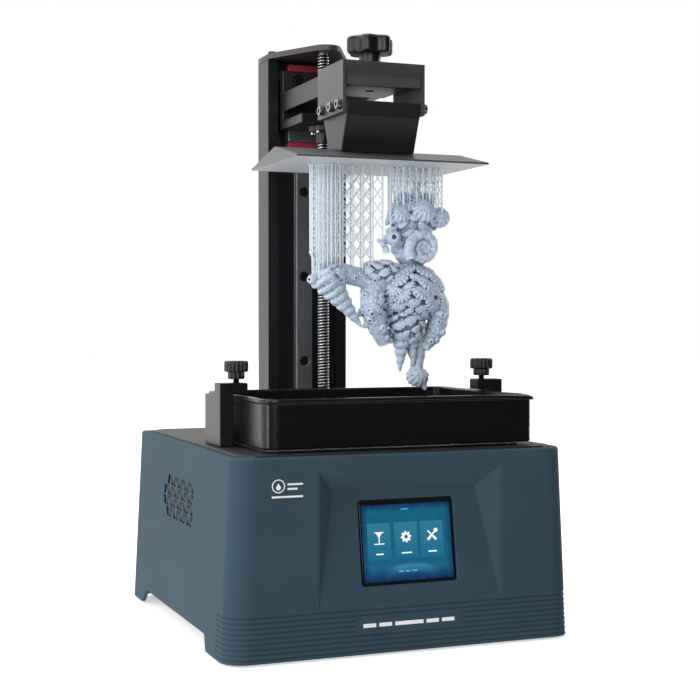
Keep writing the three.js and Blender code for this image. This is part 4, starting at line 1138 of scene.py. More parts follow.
def platform_bracket():
    body = block("bracket", bracket_low, bracket_high)
    front, rear = bracket_low.y, bracket_high.y
    for low_y, high_y, top in ((front + 2.3, rear + 5, 348.0), (front - 5, front + 4, 335.5)):
        cut(body, block("inside", (-24.4, low_y, 310), (24.4, high_y, top)))
    cut(body, bore("z", CLAMP_AT, 4.3, 340, 355))
    levelling_holes(body, 22, 32)
    soften(body, 0.8, 3)
    for side in (-1, 1):
        ends = sorted((side * 24.1, side * 24.6))
        cut(body, block("relief", (ends[0], front - 1, 310), (ends[1], front + 2.6, 344)))
    return body


fit(platform_bracket(), "platform_mount", SHEET_STEEL, "sheet_steel", "platform_bracket")
for name, side in LEVELLING_SIDES:
    node = "levelling_screw_" + name
    low, high, middle = extent(node)
    tip = low.x if side > 0 else high.x
    seat = side * 27.1
    at = (middle.y, middle.z, seat)
    screw = socket_screw("levelling_bolt_" + name, "x", at, 3.0, 2.65, 1.5, abs(seat - tip), side)
    fit(screw, "platform_mount", NICKEL_SCREW, "bright_steel", node)

neck_low, neck_high = box_mm("platform_neck")
slab_low, slab_high = box_mm("build_plate")
RIDGE = -54.0
EDGE_Z = 290.2


def gable(lift, grow=0.0):
    return [
        (slab_low.y - grow, slab_low.z - grow + lift), (slab_high.y + grow, slab_low.z - grow + lift),
        (slab_high.y + grow, EDGE_Z + lift), (RIDGE, slab_high.z + lift), (slab_low.y - grow, EDGE_Z + lift),
    ]


def platform_neck():
    outline = [(-76, 317.6), (-66, 294), (-47, 294), (-37, 317.6), (-37, 326.5), (-76, 326.5)]
    body = soften(prism("neck", outline, "x", neck_low.x, neck_high.x), 0.7, 3, 15)
    cut(body, prism("gable", gable(0.3), "x", -70, 70))
    levelling_holes(body, 18, 30)
    return body


fit(platform_neck(), "build_platform", ARM_ALUMINIUM, "black_aluminium", "platform_neck")


def build_plate():
    body = soften(prism("slab", gable(0.0), "x", slab_low.x, slab_high.x), 0.3, 2, 4)
    fit(body, "build_platform", [PLATE_TOP, PLATE_FACE], "plate_aluminium", "build_plate", crease=4)
    for face in body.data.polygons:
        if face.normal.z < -0.9:
            face.material_index = 1


build_plate()

knob_low, knob_high = box_mm("platform_knob")
KNOB_Y = (knob_low.y + knob_high.y) / 2


def platform_knob():
    grip, top = 358.3, knob_high.z
    profile = [
        (11.6, grip, 0.6), (12.7, grip + 0.5, 0.9), (13.2, grip + 1.6, 1.0), (13.2, top - 2.6, 1.0),
        (12.8, top - 1.2, 0.95), (11.8, top - 0.35, 0.8), (10.4, top, 0.5), (8.6, top, 0.0),
        (8.2, top - 0.5, 0.0), (3.0, top - 0.5, 0.0),
    ]
    knob = capped("knob", "z", (0, KNOB_Y), profile, 1.8, 6, 144, 0.8)
    low = knob_low.z
    stem = [(6.2, low), (6.7, low + 0.5), (6.7, grip + 0.5), (6.7, grip + 1)]
    unite(knob, turned("stem", "z", (0, KNOB_Y), stem))
    return cut(knob, bore("z", (0, KNOB_Y), 4.1, 345, 361.2))


fit(platform_knob(), "platform_clamp", KNOB_PLASTIC, "knob_plastic", "platform_knob", crease=40)


def clamp_screw():
    low, high = box_mm("platform_knob_screw")
    profile = []
    z = low.z
    while z < high.z:
        profile += [(high.x - 0.3 if z == low.z else high.x, z), (high.x - 0.5, z + 0.45)]
        z += 0.9
    return turned("clamp_screw", "z", (0, KNOB_Y), profile, 32)


fit(clamp_screw(), "platform_clamp", BRIGHT_STEEL, "bright_steel", "platform_knob_screw", crease=60)


# ---- Resin vat ------------------------------------------------------------------------------------

vat_low, vat_high = box_mm("vat_frame")
VAT_HALF = 83.5
VAT_FRONT, VAT_REAR = -99.5, 18.5
SPOUT_X, SPOUT_REAR, SPOUT_END = 90.3, -82.0, -68.0


def arc(cx, cy, r, start, steps=10):
    return [(x, y) for x, y, _, _ in arc_stations(cx, cy, r, start, start + 90, steps)]


def vat_ring(inset, z, droop=0.0):
    """The plan of the vat moved in by inset: its front right corner bulges out into a pouring spout."""
    r, tight = 9.0 - inset, 6.0 - inset
    x, front, rear = VAT_HALF - inset, VAT_FRONT + inset, VAT_REAR - inset
    edge, mitre = SPOUT_X - inset, 0.229 * inset
    bead = 0.3 if -0.1 < inset < 0.1 else 0.0
    ring = arc(-x + r, front + r, r, 180, 12)
    ring += [(-40, front), (20, front), (60.7, front), (61.4, front - bead), (62.1, front)]
    ring += arc(edge - tight, front + tight, tight, 270)
    ring += [(edge, SPOUT_REAR - mitre), (x, SPOUT_END - mitre), (x, -40)]
    ring += arc(x - r, rear - r, r, 0) + [(0, rear)] + arc(-x + r, rear - r, r, 90)
    placed = []
    for a, b in ring:
        share = min(max((a - 78) / 12, 0.0), 1.0) * min(max((-80 - b) / 8, 0.0), 1.0)
        placed.append((a + 0.7 * droop * share, b - 0.3 * droop * share, z - 1.5 * droop * share))
    return placed


def vat_frame():
    top = vat_high.z
    profile = [
        (1.0, vat_low.z, 0), (0.25, vat_low.z + 0.35, 0), (0.0, vat_low.z + 1.2, 0), (0.0, 145.6, 0),
        (-0.3, 146.3, 0.3), (-0.9, 146.6, 0.7), (-1.3, 146.9, 1), (-1.4, 147.4, 1), (-1.4, top - 0.8, 1),
        (-1.15, top - 0.25, 1), (-0.6, top, 0.9), (2.6, top, 0.2), (3.2, top - 0.3, 0.1), (3.5, top - 1.1, 0),
        (3.5, vat_low.z, 0),
    ]
    return loft("vat", [vat_ring(inset, z, droop) for inset, z, droop in profile], closed=True)


fit(vat_frame(), "vat", VAT_PLASTIC, "vat_plastic", "vat_frame", crease=50)


def plain_ring(inset, z):
    x, y = (-VAT_HALF + inset, VAT_HALF - inset), (VAT_FRONT + inset, VAT_REAR - inset)
    return [(a, b, z) for a, b in rounded(x, y, 9.0 - inset, 12)]


film_low, film_high = box_mm("vat_film")
film = loft("film", [plain_ring(1.5, film_low.z), plain_ring(1.5, film_high.z)])
fit(film, "vat", FILM_CLEAR, "film", "vat_film")

ring_low, ring_high = box_mm("film_ring")
ring = loft("vat_film_ring", [
    plain_ring(0.7, ring_low.z), plain_ring(0.5, ring_low.z + 0.15), plain_ring(0.5, ring_high.z),
    plain_ring(5.0, ring_high.z), plain_ring(5.0, ring_low.z),
], closed=True)
fit(ring, "vat", DARK_STEEL_AND_ROOT_SHADE, "bright_steel", "film_ring")


CLAMP_BOLT_X, CLAMP_BOLTS = 90.6, (-30, -21)


def vat_clamp(name, side):
    low, high = box_mm("vat_clamp_" + name)
    shelf = 150.0

    def across(near, far):
        return sorted((side * near, side * far))

    post, nose = across(86.3, 95), across(77.5, 95)
    body = soften(block("post", (post[0], low.y, low.z), (post[1], high.y, shelf - 1)), 0.5, 3)
    front = soften(block("grip", (post[0], low.y, low.z), (post[1], -37, high.z)), 0.5, 3)
    reach = soften(block("reach", (nose[0], low.y, shelf), (nose[1], -37, high.z)), 0.5, 3)
    unite(body, front, reach)
    cut(body, flared("z", (side * 83, -43), 2.2, 2.8, (145, high.z - 0.4, high.z + 0.2, 165)))
    for y in CLAMP_BOLTS:
        cut(body, flared("z", (side * CLAMP_BOLT_X, y), 2.2, 2.6, (146, 148.7, 149.2, 155)))
    return body


for name, side in (("left", -1), ("right", 1)):
    fit(vat_clamp(name, side), "base", CLAMP_PAINT, "top_plate_paint", "vat_clamp_" + name)
    bolts = [
        socket_screw("clamp_bolt", "z", (side * CLAMP_BOLT_X, y, 146.2), 1.95, 2.0, 1.0, 0.1, 1, 24)
        for y in CLAMP_BOLTS
    ]
    fit(join("clamp_bolts_" + name, bolts), "base", BLACK_SCREW, "bright_steel")


def thumb_screw(name):
    low, high = box_mm("vat_thumb_screw_" + name)
    x, y = (low.x + high.x) / 2, (low.y + high.y) / 2
    grip, top = 163.0, high.z
    profile = [
        (6.3, grip, 0.2), (6.9, grip + 0.4, 0.8), (7.0, grip + 0.9, 1.0), (7.0, top - 1.0, 1.0),
        (6.8, top - 0.4, 0.7), (6.3, top, 0.1), (4.9, top, 0.0), (4.6, top - 0.4, 0.0), (1.5, top - 0.4, 0.0),
    ]
    knob = capped("thumb_knob", "z", (x, y), profile, 0.32, 18, 216, 0.7)
    neck_profile = [(4.4, 158.7, 0.5), (4.9, 159.2, 1.0), (4.9, 162.2, 1.0), (4.6, 163.4, 0.2)]
    neck = capped("neck", "z", (x, y), neck_profile, 0.3, 12, 144, 0.7)
    unite(knob, neck)
    stem = []
    z = low.z
    while z < 158.4:
        stem += [(1.6, z), (1.9, z + 0.35)]
        z += 0.7
    stem.append((1.9, 160.0))
    return unite(knob, turned("thread", "z", (x, y), stem, 32))


for name in ("left", "right"):
    screw = thumb_screw(name)
    fit(screw, "thumb_screw_" + name, KNOB_PLASTIC, "knob_plastic", "vat_thumb_screw_" + name, crease=40)


# ---- Rear panel and sockets -------------------------------------------------------------------------

def rear_grille():
    """Four rings joined by a cross, in front of the fan."""
    low, high = box_mm("rear_fan_grille")
    centre = ((low.x + high.x) / 2, (low.z + high.z) / 2)
    hoops = []
    for outer in (27.7, 21.4, 15.1, 8.8):
        hoop = turned("hoop", "y", centre, [(outer, low.y), (outer, high.y - 0.3), (outer - 0.3, high.y)], 72)
        hoops.append(cut(hoop, bore("y", centre, outer - 1.9, low.y - 2, high.y + 2, 72)))
    grille = turned("hub", "y", centre, [(4.2, low.y), (4.2, high.y - 0.4), (3.8, high.y)], 48)
    for turn in (0.25 * math.pi, -0.25 * math.pi):
        c, s = math.cos(turn), math.sin(turn)
        ends = ((-27, -1), (27, -1), (27, 1), (-27, 1))
        outline = [(centre[0] + a * c - b * s, centre[1] + a * s + b * c) for a, b in ends]
        unite(grille, prism("bar", outline, "y", low.y + 0.1, high.y - 0.35))
    unite(grille, *hoops)
    return grille


fit(rear_grille(), "base", BLACK_PLASTIC, "black_plastic", "rear_fan_grille")


def power_inlet():
    low, high, middle = extent("power_inlet")
    at, y = (middle.x, middle.z), high.y
    body = soften(block("inlet", low, high), 0.6, 3)
    cut(body, flared("y", at, 3.6, 4.2, (y - 10, y - 0.5, y + 0.1, y + 3), FINE))
    return body, turned("inlet_pin", "y", at, [(1.1, y - 11), (1.1, y - 2.1), (0.8, y - 1.6)], 24)


inlet, inlet_pin = power_inlet()
fit(inlet, "base", BLACK_PLASTIC, "black_plastic", "power_inlet")
fit(inlet_pin, "base", BRIGHT_STEEL, "bright_steel")


def switch_housing():
    low, high, middle = extent("power_switch_housing")
    x, y, z = middle.x, high.y, middle.z
    body = soften(block("switch_body", low, high), 0.7, 3)
    return cut(body, block("well", (x - 9.4, y - 8.4, z - 6), (x + 9.4, y + 5, z + 6)))


fit(switch_housing(), "base", BLACK_PLASTIC, "black_plastic", "power_switch_housing")

ROCKER_PIVOT_Y = 110.0
ROCKER_TILT = Matrix.Rotation(math.radians(10), 4, "Z")


def switch_rocker():
    """The rocker with a face that dips in the middle."""
    outline = [(-8.5, -3), (8.5, -3), (8.5, 0.8)]
    outline += [(8.5 - 17 * i / 12, -0.4 + 1.2 * abs(1 - i / 6) ** 1.6) for i in range(1, 12)]
    outline.append((-8.5, 0.8))
    return soften(prism("rocker", outline, "z", -5.7, 5.7), 0.35, 3, 40)


def rocker_marks():
    """A stroke for on and a ring for off."""
    at, low, high = (5.6, 0.0), 0.15, 0.42
    ring = cut(turned("mark", "y", at, [(1.6, low), (1.6, high)], 32), bore("y", at, 1.1, -1, 2, 32))
    return join("rocker_marks", [block("mark", (-5.9, low, -1.7), (-5.3, high, 1.7)), ring])


def on_the_switch(piece, node):
    middle = middle_mm(node)
    return moved(piece, shift(middle.x, ROCKER_PIVOT_Y, middle.z) @ ROCKER_TILT)


rocker = on_the_switch(switch_rocker(), "power_switch_rocker")
fit(rocker, "power_rocker", BLACK_PLASTIC, "black_plastic", "power_switch_rocker")
fit(on_the_switch(rocker_marks(), "power_switch_housing"), "power_rocker", PALE_MARK, "grey_plastic")


def usb_port():
    low, high, middle = extent("usb_port")
    body = soften(block("usb_shell", low, high), 0.5, 3)
    cut(body, block("mouth", (low.x + 2, low.y + 0.6, low.z + 0.6), (high.x + 5, high.y - 0.6, high.z - 0.6)))
    near = (low.x + 1.5, middle.y - 5.2, middle.z + 0.2)
    return body, soften(block("usb_tongue", near, (high.x - 1.8, middle.y + 5.2, middle.z + 1.9)), 0.2)


usb_body, tongue = usb_port()
fit(usb_body, "base", BRIGHT_STEEL, "bright_steel", "usb_port")
fit(tongue, "base", BLACK_PLASTIC, "black_plastic")


# ---- Carried-over pieces inside and under the base ------------------------------------------------------

def dress(look, *names):
    for name in names:
        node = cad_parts[name]
        if not node.material_slots:
            node.data.materials.append(look)
        for one in node.material_slots:
            one.material = look


dress(SHEET_STEEL, "bottom_plate", "z_motor")
dress(BOARD_GREEN, "main_board")
dress(BLACK_PLASTIC, "display_board")
dress(BLACK_ALUMINIUM, "projector_housing")
dress(LENS_GLASS, "projector_lens")
dress(MIRROR, "fold_mirror")
dress(GREY_PLASTIC, "mirror_mount")
dress(BLACK_PLASTIC, "fan_frame", "fan_rotor", "limit_sensor")
dress(BRIGHT_STEEL, "limit_flag")

floor_z = box_mm("bottom_plate")[0].z - 0.02
floor_screws = []
for x in (-70, 70):
    for y in (-100, 100):
        floor_screws.append(socket_screw("floor_screw", "z", (x, y, floor_z), 2.6, 1.5, 0.6, 0.3, -1, 24))
fit(join("floor_screws", floor_screws), "base", BLACK_SCREW, "bright_steel")


# ---- The print: sea shells and coral on supports --------------------------------------------------------

PRINT_Y = -54.0


def smooth_path(points, steps):
    """Points on a curve that passes through each given (x, y, z, radius)."""
    known = [Vector(p) for p in points]
    known = [known[0] * 2 - known[1]] + known + [known[-1] * 2 - known[-2]]
    path = []
    for i in range(1, len(known) - 2):
        a, b, c, d = known[i - 1:i + 3]
        for s in range(steps):
            t = s / steps
            path.append(0.5 * (2 * b + (c - a) * t + (2 * a - 5 * b + 4 * c - d) * t * t
                               + (3 * b - a - 3 * c + d) * t ** 3))
    path.append(known[-2])
    return path


def tube(name, points, steps=6, sides=12, ribs=0, swell=0.0):
    """A bent tapering tube; ribs are rings along it that stand swell of its radius proud."""
    path = smooth_path([(*p,) for p in points], steps)
    spots = [Vector(p[:3]) for p in path]
    radii = [max(p[3], 0.2) for p in path]
    side = None
    rings = []
    for i, spot in enumerate(spots):
        along = (spots[min(i + 1, len(spots) - 1)] - spots[max(i - 1, 0)]).normalized()
        if side is None:
            side = along.orthogonal().normalized()
        side = (side - along * side.dot(along)).normalized()
        other = along.cross(side)
        r = radii[i] * (1 + swell * math.sin(2 * math.pi * ribs * i / (len(spots) - 1)))
        ring = []
        for j in range(sides):
            angle = 2 * math.pi * j / sides
            ring.append(spot + (side * math.cos(angle) + other * math.sin(angle)) * r)
        rings.append(ring)
    return loft(name, rings)


def ball(name, centre, radius, squash_by=(1, 1, 1), ribs=0, depth=0.0, steps=28):
    """A rounded lump with ribs that run from pole to pole."""
    rings = []
    for i in range(1, steps // 2):
        polar = math.pi * i / (steps // 2)
        ring = []
        for j in range(steps * 2):
            angle = 2 * math.pi * j / (steps * 2)
            r = radius * (1 + depth * math.cos(ribs * angle) * math.sin(polar))
            ring.append((
                centre[0] + r * squash_by[0] * math.sin(polar) * math.cos(angle),
                centre[1] + r * squash_by[1] * math.sin(polar) * math.sin(angle),
                centre[2] + r * squash_by[2] * math.cos(polar),
            ))
        rings.append(ring)
    return loft(name, rings)


def tilted(piece, centre, axis, degrees):
    middle = Vector(centre) * MM
    turn = Matrix.Rotation(math.radians(degrees), 4, Vector(axis))
    return moved(piece, Matrix.Translation(middle) @ turn @ Matrix.Translation(-middle))


def ammonite(centre, radius, turns=2.6):
    """A flat coiled shell with ribs, its coil in the X Z plane."""
    points = []
    count = int(turns * 26)
    for i in range(count + 1):
        t = i / count
        grow = 0.13 * math.exp(2.04 * t)
        angle = 2 * math.pi * turns * t
        r = radius * grow * 0.78
        rib = 1 + 0.10 * (1 if i % 3 == 0 else -0.6)
        x, z = centre[0] + r * math.cos(angle), centre[2] + r * math.sin(angle)
        points.append((x, centre[1], z, radius * grow * 0.27 * rib))
    shell = tube("ammonite", points, 1, 14)
    back = turned("ammonite_back", "y", (centre[0], centre[2]), [
        (radius * 0.5, centre[1] - 0.8), (radius * 0.66, centre[1] + 1), (radius * 0.5, centre[1] + 3),
    ], 32)
    return [shell, back]


def turret(top, tip, radius, whorls=6):
    """A long pointed shell with a step at each whorl."""
    top, tip = Vector(top), Vector(tip)
    points = []
    count = whorls * 8
    for i in range(count + 1):
        t = i / count
        bulge = 0.80 + 0.20 * abs(math.sin(math.pi * whorls * t))
        r = radius * (1 - t) ** 0.85 * bulge + 0.5
        spot = top.lerp(tip, t)
        points.append((spot.x, spot.y, spot.z, r))
    return [tube("turret", points, 1, 20)]


def scallop(centre, radius, outward, aim, ribs=9):
    """A fan shell: a ribbed dish that bulges outward and spreads from its hinge along aim."""
    outward = Vector(outward).normalized()
    aim = Vector(aim)
    aim = (aim - outward * aim.dot(outward)).normalized()
    across = outward.cross(aim)
    centre = Vector(centre) - aim * radius * 0.5
    rows, columns = 9, ribs * 5
    front, back = [], []
    for i in range(rows + 1):
        t = i / rows
        for j in range(columns + 1):
            s = j / columns * 2 - 1
            angle = s * math.radians(74)
            wave = math.cos(ribs * math.pi * (s + 1)) * t
            reach = radius * t * (1 - 0.13 * s * s) * (1 + 0.04 * wave)
            swell = math.sin(math.pi * min(t * 0.62 + 0.14, 1))
            rise = radius * (0.34 * swell * (1 - 0.5 * s * s) + 0.06 * wave)
            spot = centre + aim * reach * math.cos(angle) + across * reach * math.sin(angle)
            front.append(spot + outward * rise)
            back.append(spot + outward * (rise - 1.9))
    width = columns + 1
    count = len(front)
    faces = []
    for i in range(rows):
        for j in range(columns):
            a, b = i * width + j, (i + 1) * width + j
            faces.append((a, a + 1, b + 1, b))
            faces.append((count + a, count + b, count + b + 1, count + a + 1))
    rim = [i * width for i in range(rows, -1, -1)] + [j for j in range(1, width)]
    rim += [i * width + columns for i in range(1, rows + 1)]
    rim += [rows * width + j for j in range(columns - 1, 0, -1)]
    for i, a in enumerate(rim):
        b = rim[(i + 1) % len(rim)]
        faces.append((a, b, count + b, count + a))
    return [new_piece("scallop", front + back, faces)]


def scallop_bed(centre, radii, count, size, front_only=0.35):
    """Fan shells that overlap all over the front of a rounded lump, most of them hanging down."""
    made = [ball("lump", centre, 1.0, tuple(r * 0.86 for r in radii))]
    for i in range(count):
        z = 1 - 2 * (i + 0.5) / count
        around = math.pi * (3 - math.sqrt(5)) * i
        flat = math.sqrt(1 - z * z)
        way = Vector((flat * math.cos(around), flat * math.sin(around), z))
        if way.y > front_only:
            continue
        spot = Vector(centre) + Vector([w * r for w, r in zip(way, radii)])
        outward = Vector([w / r for w, r in zip(way, radii)])
        aim = Vector((random.uniform(-0.8, 0.8), -0.3, -1 + random.uniform(-0.3, 0.5)))
        made += scallop(spot, size * random.uniform(0.75, 1.25), outward, aim, random.choice((6, 7, 8)))
    return made


def coral(start, aim, length, radius, depth, plane=(0.35, 0.5)):
    """Branches that fork and taper, each ending in a round bud."""
    start, aim = Vector(start), Vector(aim).normalized()
    bend = Vector((random.uniform(-1, 1), random.uniform(-1, 1) * plane[0], random.uniform(-1, 1)))
    bend = bend * length * 0.16
    end = start + aim * length
    middle = start.lerp(end, 0.5) + bend
    path = [(*start, radius), (*middle, radius * 0.86), (*end, radius * 0.74)]
    made = [tube("coral", path, 5, 10, 4, 0.06), ball("bud", end, radius * 0.86, steps=14)]
    if depth:
        for side in (-1, 1):
            turn = Matrix.Rotation(math.radians(side * random.uniform(24, 44)), 3, "Y")
            off = turn @ aim
            off.y += random.uniform(-plane[1], plane[1]) * 0.6
            made += coral(end, off, length * random.uniform(0.62, 0.82), radius * 0.72, depth - 1, plane)
    return made


def urchin(centre, radius, ribs=14):
    made = ball("urchin", centre, radius, (1, 0.9, 0.86), ribs, 0.055, 40)
    return [tilted(made, centre, (1, 0, 0), 62)]


def barnacle(centre, radius, aim):
    aim = Vector(aim).normalized()
    centre = Vector(centre)
    points = []
    for t, r in ((0.0, 1.0), (0.4, 0.86), (0.8, 0.62), (1.0, 0.5)):
        spot = centre + aim * radius * 1.1 * t
        points.append((*spot, radius * r))
    body = tube("barnacle", points, 4, 18)
    tip = centre + aim * radius * 1.12
    path = [(*(tip - aim * radius * 0.5), radius * 0.22), (*(tip + aim * radius * 0.2), radius * 0.36)]
    return [cut(body, tube("pit", path, 4, 14))]


def whelk(centre, radius, aim):
    """A stout spiral shell: a tube wound round a line that it climbs as it grows."""
    aim = Vector(aim).normalized()
    side = aim.orthogonal().normalized()
    other = aim.cross(side)
    centre = Vector(centre)
    points = []
    turns, count = 3.6, 70
    for i in range(count + 1):
        t = i / count
        grow = 0.16 + 0.84 * t ** 1.5
        angle = 2 * math.pi * turns * t
        spot = centre + aim * (radius * 2.3 * (1 - t ** 0.9)) \
            + (side * math.cos(angle) + other * math.sin(angle)) * radius * 0.52 * grow
        points.append((*spot, radius * 0.50 * grow * (1.06 if i % 4 == 0 else 0.97)))
    body = tube("whelk", points, 1, 14)
    path = [(*(centre - aim * radius * 0.2), radius * 0.5), (*(centre + aim * radius * 2.0), radius * 0.2)]
    return [body, tube("core", path, 5, 12)]


def encrusted(path, radius_by, count, size):
    """A bent branch with barnacles standing on it."""
    made = [tube("branch", path, 8, 16, len(path) * 3, 0.07)]
    spots = smooth_path([(*p,) for p in path], 8)
    for i in range(count):
        x, y, z, r = spots[int((i + 0.5) * len(spots) / count)]
        turn = random.uniform(0.55, 1.45) * math.pi + math.pi / 2
        way = Vector((math.cos(turn), -abs(math.sin(turn)) - 0.2, random.uniform(-0.6, 0.6)))
        spot = Vector((x, y, z)) + way.normalized() * r * radius_by
        made += barnacle(spot, size * random.uniform(0.7, 1.2), way)
    return made


def printed_body():
    y = PRINT_Y
    parts = []
    parts.append(ball("mass", (29, y + 1, 246), 12, (1.15, 0.75, 1.7)))
    parts += scallop_bed((29, y + 1, 252), (16, 10, 19), 46, 5.6)
    parts += ammonite((32, y - 11, 239), 14.2)
    parts += barnacle((13.5, y - 6, 245), 5.2, (-0.35, -1, 0.1))
    for x, dy, z, r in (
        (18, -4, 260, 7.6), (33, -6, 262, 8.6), (46, -2, 259, 7.2), (40, 3, 270, 5.6), (24, 2, 270, 5.4),
    ):
        parts += urchin((x, y + dy, z), r)
    parts += turret((31, y - 3, 266), (30.5, y - 2, 284), 5.2, 4)
    parts += scallop_bed((28, y + 1, 211), (20, 14, 17), 74, 6.6)
    parts += scallop_bed((24, y, 191), (12, 11, 12), 40, 5.2)
    parts += scallop_bed((8, y, 224), (13, 9, 7), 30, 4.8)
    path = [(6, y, 216, 5.0), (-12, y, 222, 6.0), (-28, y - 1, 224, 6.4), (-35, y - 1, 219, 5.4)]
    parts += encrusted(path, 0.75, 14, 3.0)
    parts += turret((-32, y - 2, 222), (-7, y - 4, 190), 9.6, 8)
    parts += scallop_bed((-27, y - 1, 221), (10, 9, 8), 26, 4.4)
    path = [(8, y, 222, 6.4), (0, y - 3, 208, 7.0), (2, y - 4, 194, 6.4), (9, y - 3, 180, 4.4)]
    parts += encrusted(path, 0.75, 18, 2.8)
    parts += scallop_bed((1, y - 2, 202), (7.5, 8, 15), 30, 4.4)
    path = [(38, y, 214, 7.4), (46, y - 2, 204, 6.6), (44, y - 2, 189, 6.2), (36, y - 1, 178, 4.6)]
    parts += encrusted(path, 0.75, 18, 2.8)
    parts += whelk((45, y - 4, 201), 6.6, (0.1, -0.2, -0.98))
    parts += turret((20, y - 4, 186), (18, y - 5, 162), 6.0, 5)
    parts += turret((26, y - 3, 186), (27.5, y - 5, 166), 5.4, 4)
    path = [(31, y, 188, 6), (33, y, 176, 4.6), (31, y - 2, 166, 4.2), (31, y - 2, 158, 4.0)]
    parts.append(tube("stalk", path, 6, 14))
    parts += urchin((31.5, y - 2, 159), 7.2, 12)
    parts += turret((34, y - 2, 158), (36.5, y - 3, 150.8), 4.0, 3)
    parts += coral((-36, y, 226), (-0.1, 0.0, 1), 6, 2.2, 1)
    parts += coral((10, y - 3, 236), (-0.5, -0.2, 1), 6, 2.2, 1)
    body = join("print_body", parts)
    remesh = body.modifiers.new("remesh", "REMESH")
    remesh.mode = "VOXEL"
    remesh.voxel_size = 0.45 * MM
    remesh.use_smooth_shade = True
    crust = bpy.data.textures.new("crust", "CLOUDS")
    crust.noise_scale = 2.6 * MM
    rough = body.modifiers.new("crust", "DISPLACE")
    rough.texture = crust
    rough.strength = 1.1 * MM
    rough.mid_level = 0.5
    smooth = body.modifiers.new("smooth", "SMOOTH")
    smooth.factor = 0.5
    smooth.iterations = 1
    bake_modifiers(body)
    return keep_largest(body)


def keep_largest(piece):
    """Drops loose islands, so that the print is one body."""
    work = bmesh.new()
    work.from_mesh(piece.data)
    left = set(work.verts)
    islands = []
    while left:
        seed = next(iter(left))
        group, queue = {seed}, [seed]
        while queue:
            vert = queue.pop()
            for edge in vert.link_edges:
                near = edge.other_vert(vert)
                if near not in group:
                    group.add(near)
                    queue.append(near)
        islands.append(group)
        left -= group
    islands.sort(key=len)
    for group in islands[:-1]:
        bmesh.ops.delete(work, geom=list(group), context="VERTS")
    work.to_mesh(piece.data)
    work.free()
    return piece


def strut(start, end, r0, r1, sides=6):
    start, end = Vector(start), Vector(end)
    along = (end - start).normalized()
    side = along.orthogonal().normalized()
    other = along.cross(side)
    rings = []
    for spot, r in ((start, r0), (end, r1)):
        ring = []
        for j in range(sides):
            angle = 2 * math.pi * j / sides
            ring.append(spot + (side * math.cos(angle) + other * math.sin(angle)) * r)
        rings.append(ring)
    points = [p for ring in rings for p in ring]
    faces = [(j, (j + 1) % sides, sides + (j + 1) % sides, sides + j) for j in range(sides)]
    faces += [tuple(range(sides)), tuple(range(sides, 2 * sides))]
    return points, faces


def print_supports(body):
    """Posts from the build plate to the print, with braces between the posts of each row."""
    ceiling = slab_low.z - 0.1
    points, faces = [], []

    def put(made):
        base = len(points)
        points.extend(made[0])
        faces.extend(tuple(base + i for i in face) for face in made[1])

    def reach(x, y):
        hit, spot, _, _ = body.ray_cast(Vector((x, y, ceiling)) * MM, Vector((0, 0, -1)))
        return spot.z / MM if hit else None

    def post(x, y, thick):
        foot = reach(x, y)
        if foot is None or ceiling - foot < 6 or (x > 4 and foot < 236):
            return None
        bottom = foot - 0.4
        put(strut((x, y, ceiling - 0.6), (x, y, bottom + 2.4), thick, thick * 0.9))
        put(strut((x, y, bottom + 2.4), (x, y, bottom), thick * 0.9, 0.22))
        put(strut((x, y, ceiling), (x, y, ceiling - 0.9), thick * 2.2, thick * 1.5, 8))
        return x, y, bottom

    def brace(left, right, rise, crossed):
        """Slanted ties between two posts, from the raft down to the shorter of them."""
        z = ceiling - 2.5
        flip = False
        while z - rise > max(left[2], right[2]) + 2:
            a, b = (right, left) if flip else (left, right)
            put(strut((a[0], a[1], z), (b[0], b[1], z - rise), 0.34, 0.34, 5))
            if crossed:
                put(strut((b[0], b[1], z), (a[0], a[1], z - rise), 0.34, 0.34, 5))
            flip = not flip
            z -= rise

    def tie(row, rise, crossed):
        for left, right in zip(row, row[1:]):
            if left and right:
                brace(left, right, rise, crossed)

    def strewn(count, start, pitch, y, stray, thicknesses):
        """Posts at about the same pitch; each draws its place first and then its thickness."""
        return [
            post(start + pitch * i + random.uniform(-stray, stray), y, random.choice(thicknesses))
            for i in range(count)
        ]

    for y in (-61, -57.5, -54, -50.5, -47):
        tie(strewn(7, -39, 2.75, y, 0.25, (0.5, 0.62, 0.8)), 6.0, False)
    for y in (-58, -51):
        tie([post(-19.5 + 6.6 * i + (y + 58) * 0.2, y, 0.55) for i in range(5)], 9.0, True)
    for y in (-62, -57, -52, -47):
        tie(strewn(9, 11, 4.3, y, 0.5, (0.45, 0.6, 0.75)), 7.0, y < -56)
    return new_piece("print_supports", points, faces)


body = printed_body()
supports = print_supports(body)
fit(body, "build_platform", RESIN, "cured_resin", "printed_model", crease=180)
fit(supports, "build_platform", SUPPORT_RESIN, "cured_resin", crease=40)
for soft in (body, supports):
    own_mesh(soft)


# ---- Studio and camera ------------------------------------------------------------------------------

FLOOR_REACH, FLOOR_GLOW = 6000, 0.55


def studio_floor():
    corners = [(a * FLOOR_REACH, b * FLOOR_REACH, 0) for a, b in ((-1, -1), (1, -1), (1, 1), (-1, 1))]
    ground = new_piece("studio_floor", corners, [(0, 1, 2, 3)])
    made, tree, shader, place_out = blank("pale_floor")
    colour = mixed(tree, noise_of(tree, place_out, 300), rgb(246, 246, 247), rgb(250, 250, 250))
    feed(tree, shader, {
        "Roughness": 0.9, "Specular IOR Level": 0.1, "Base Color": colour, "Emission Color": colour,
        "Emission Strength": FLOOR_GLOW,
    })
    ground.data.materials.append(made)
    ground.visible_diffuse = False
    ground.visible_glossy = False


studio_floor()


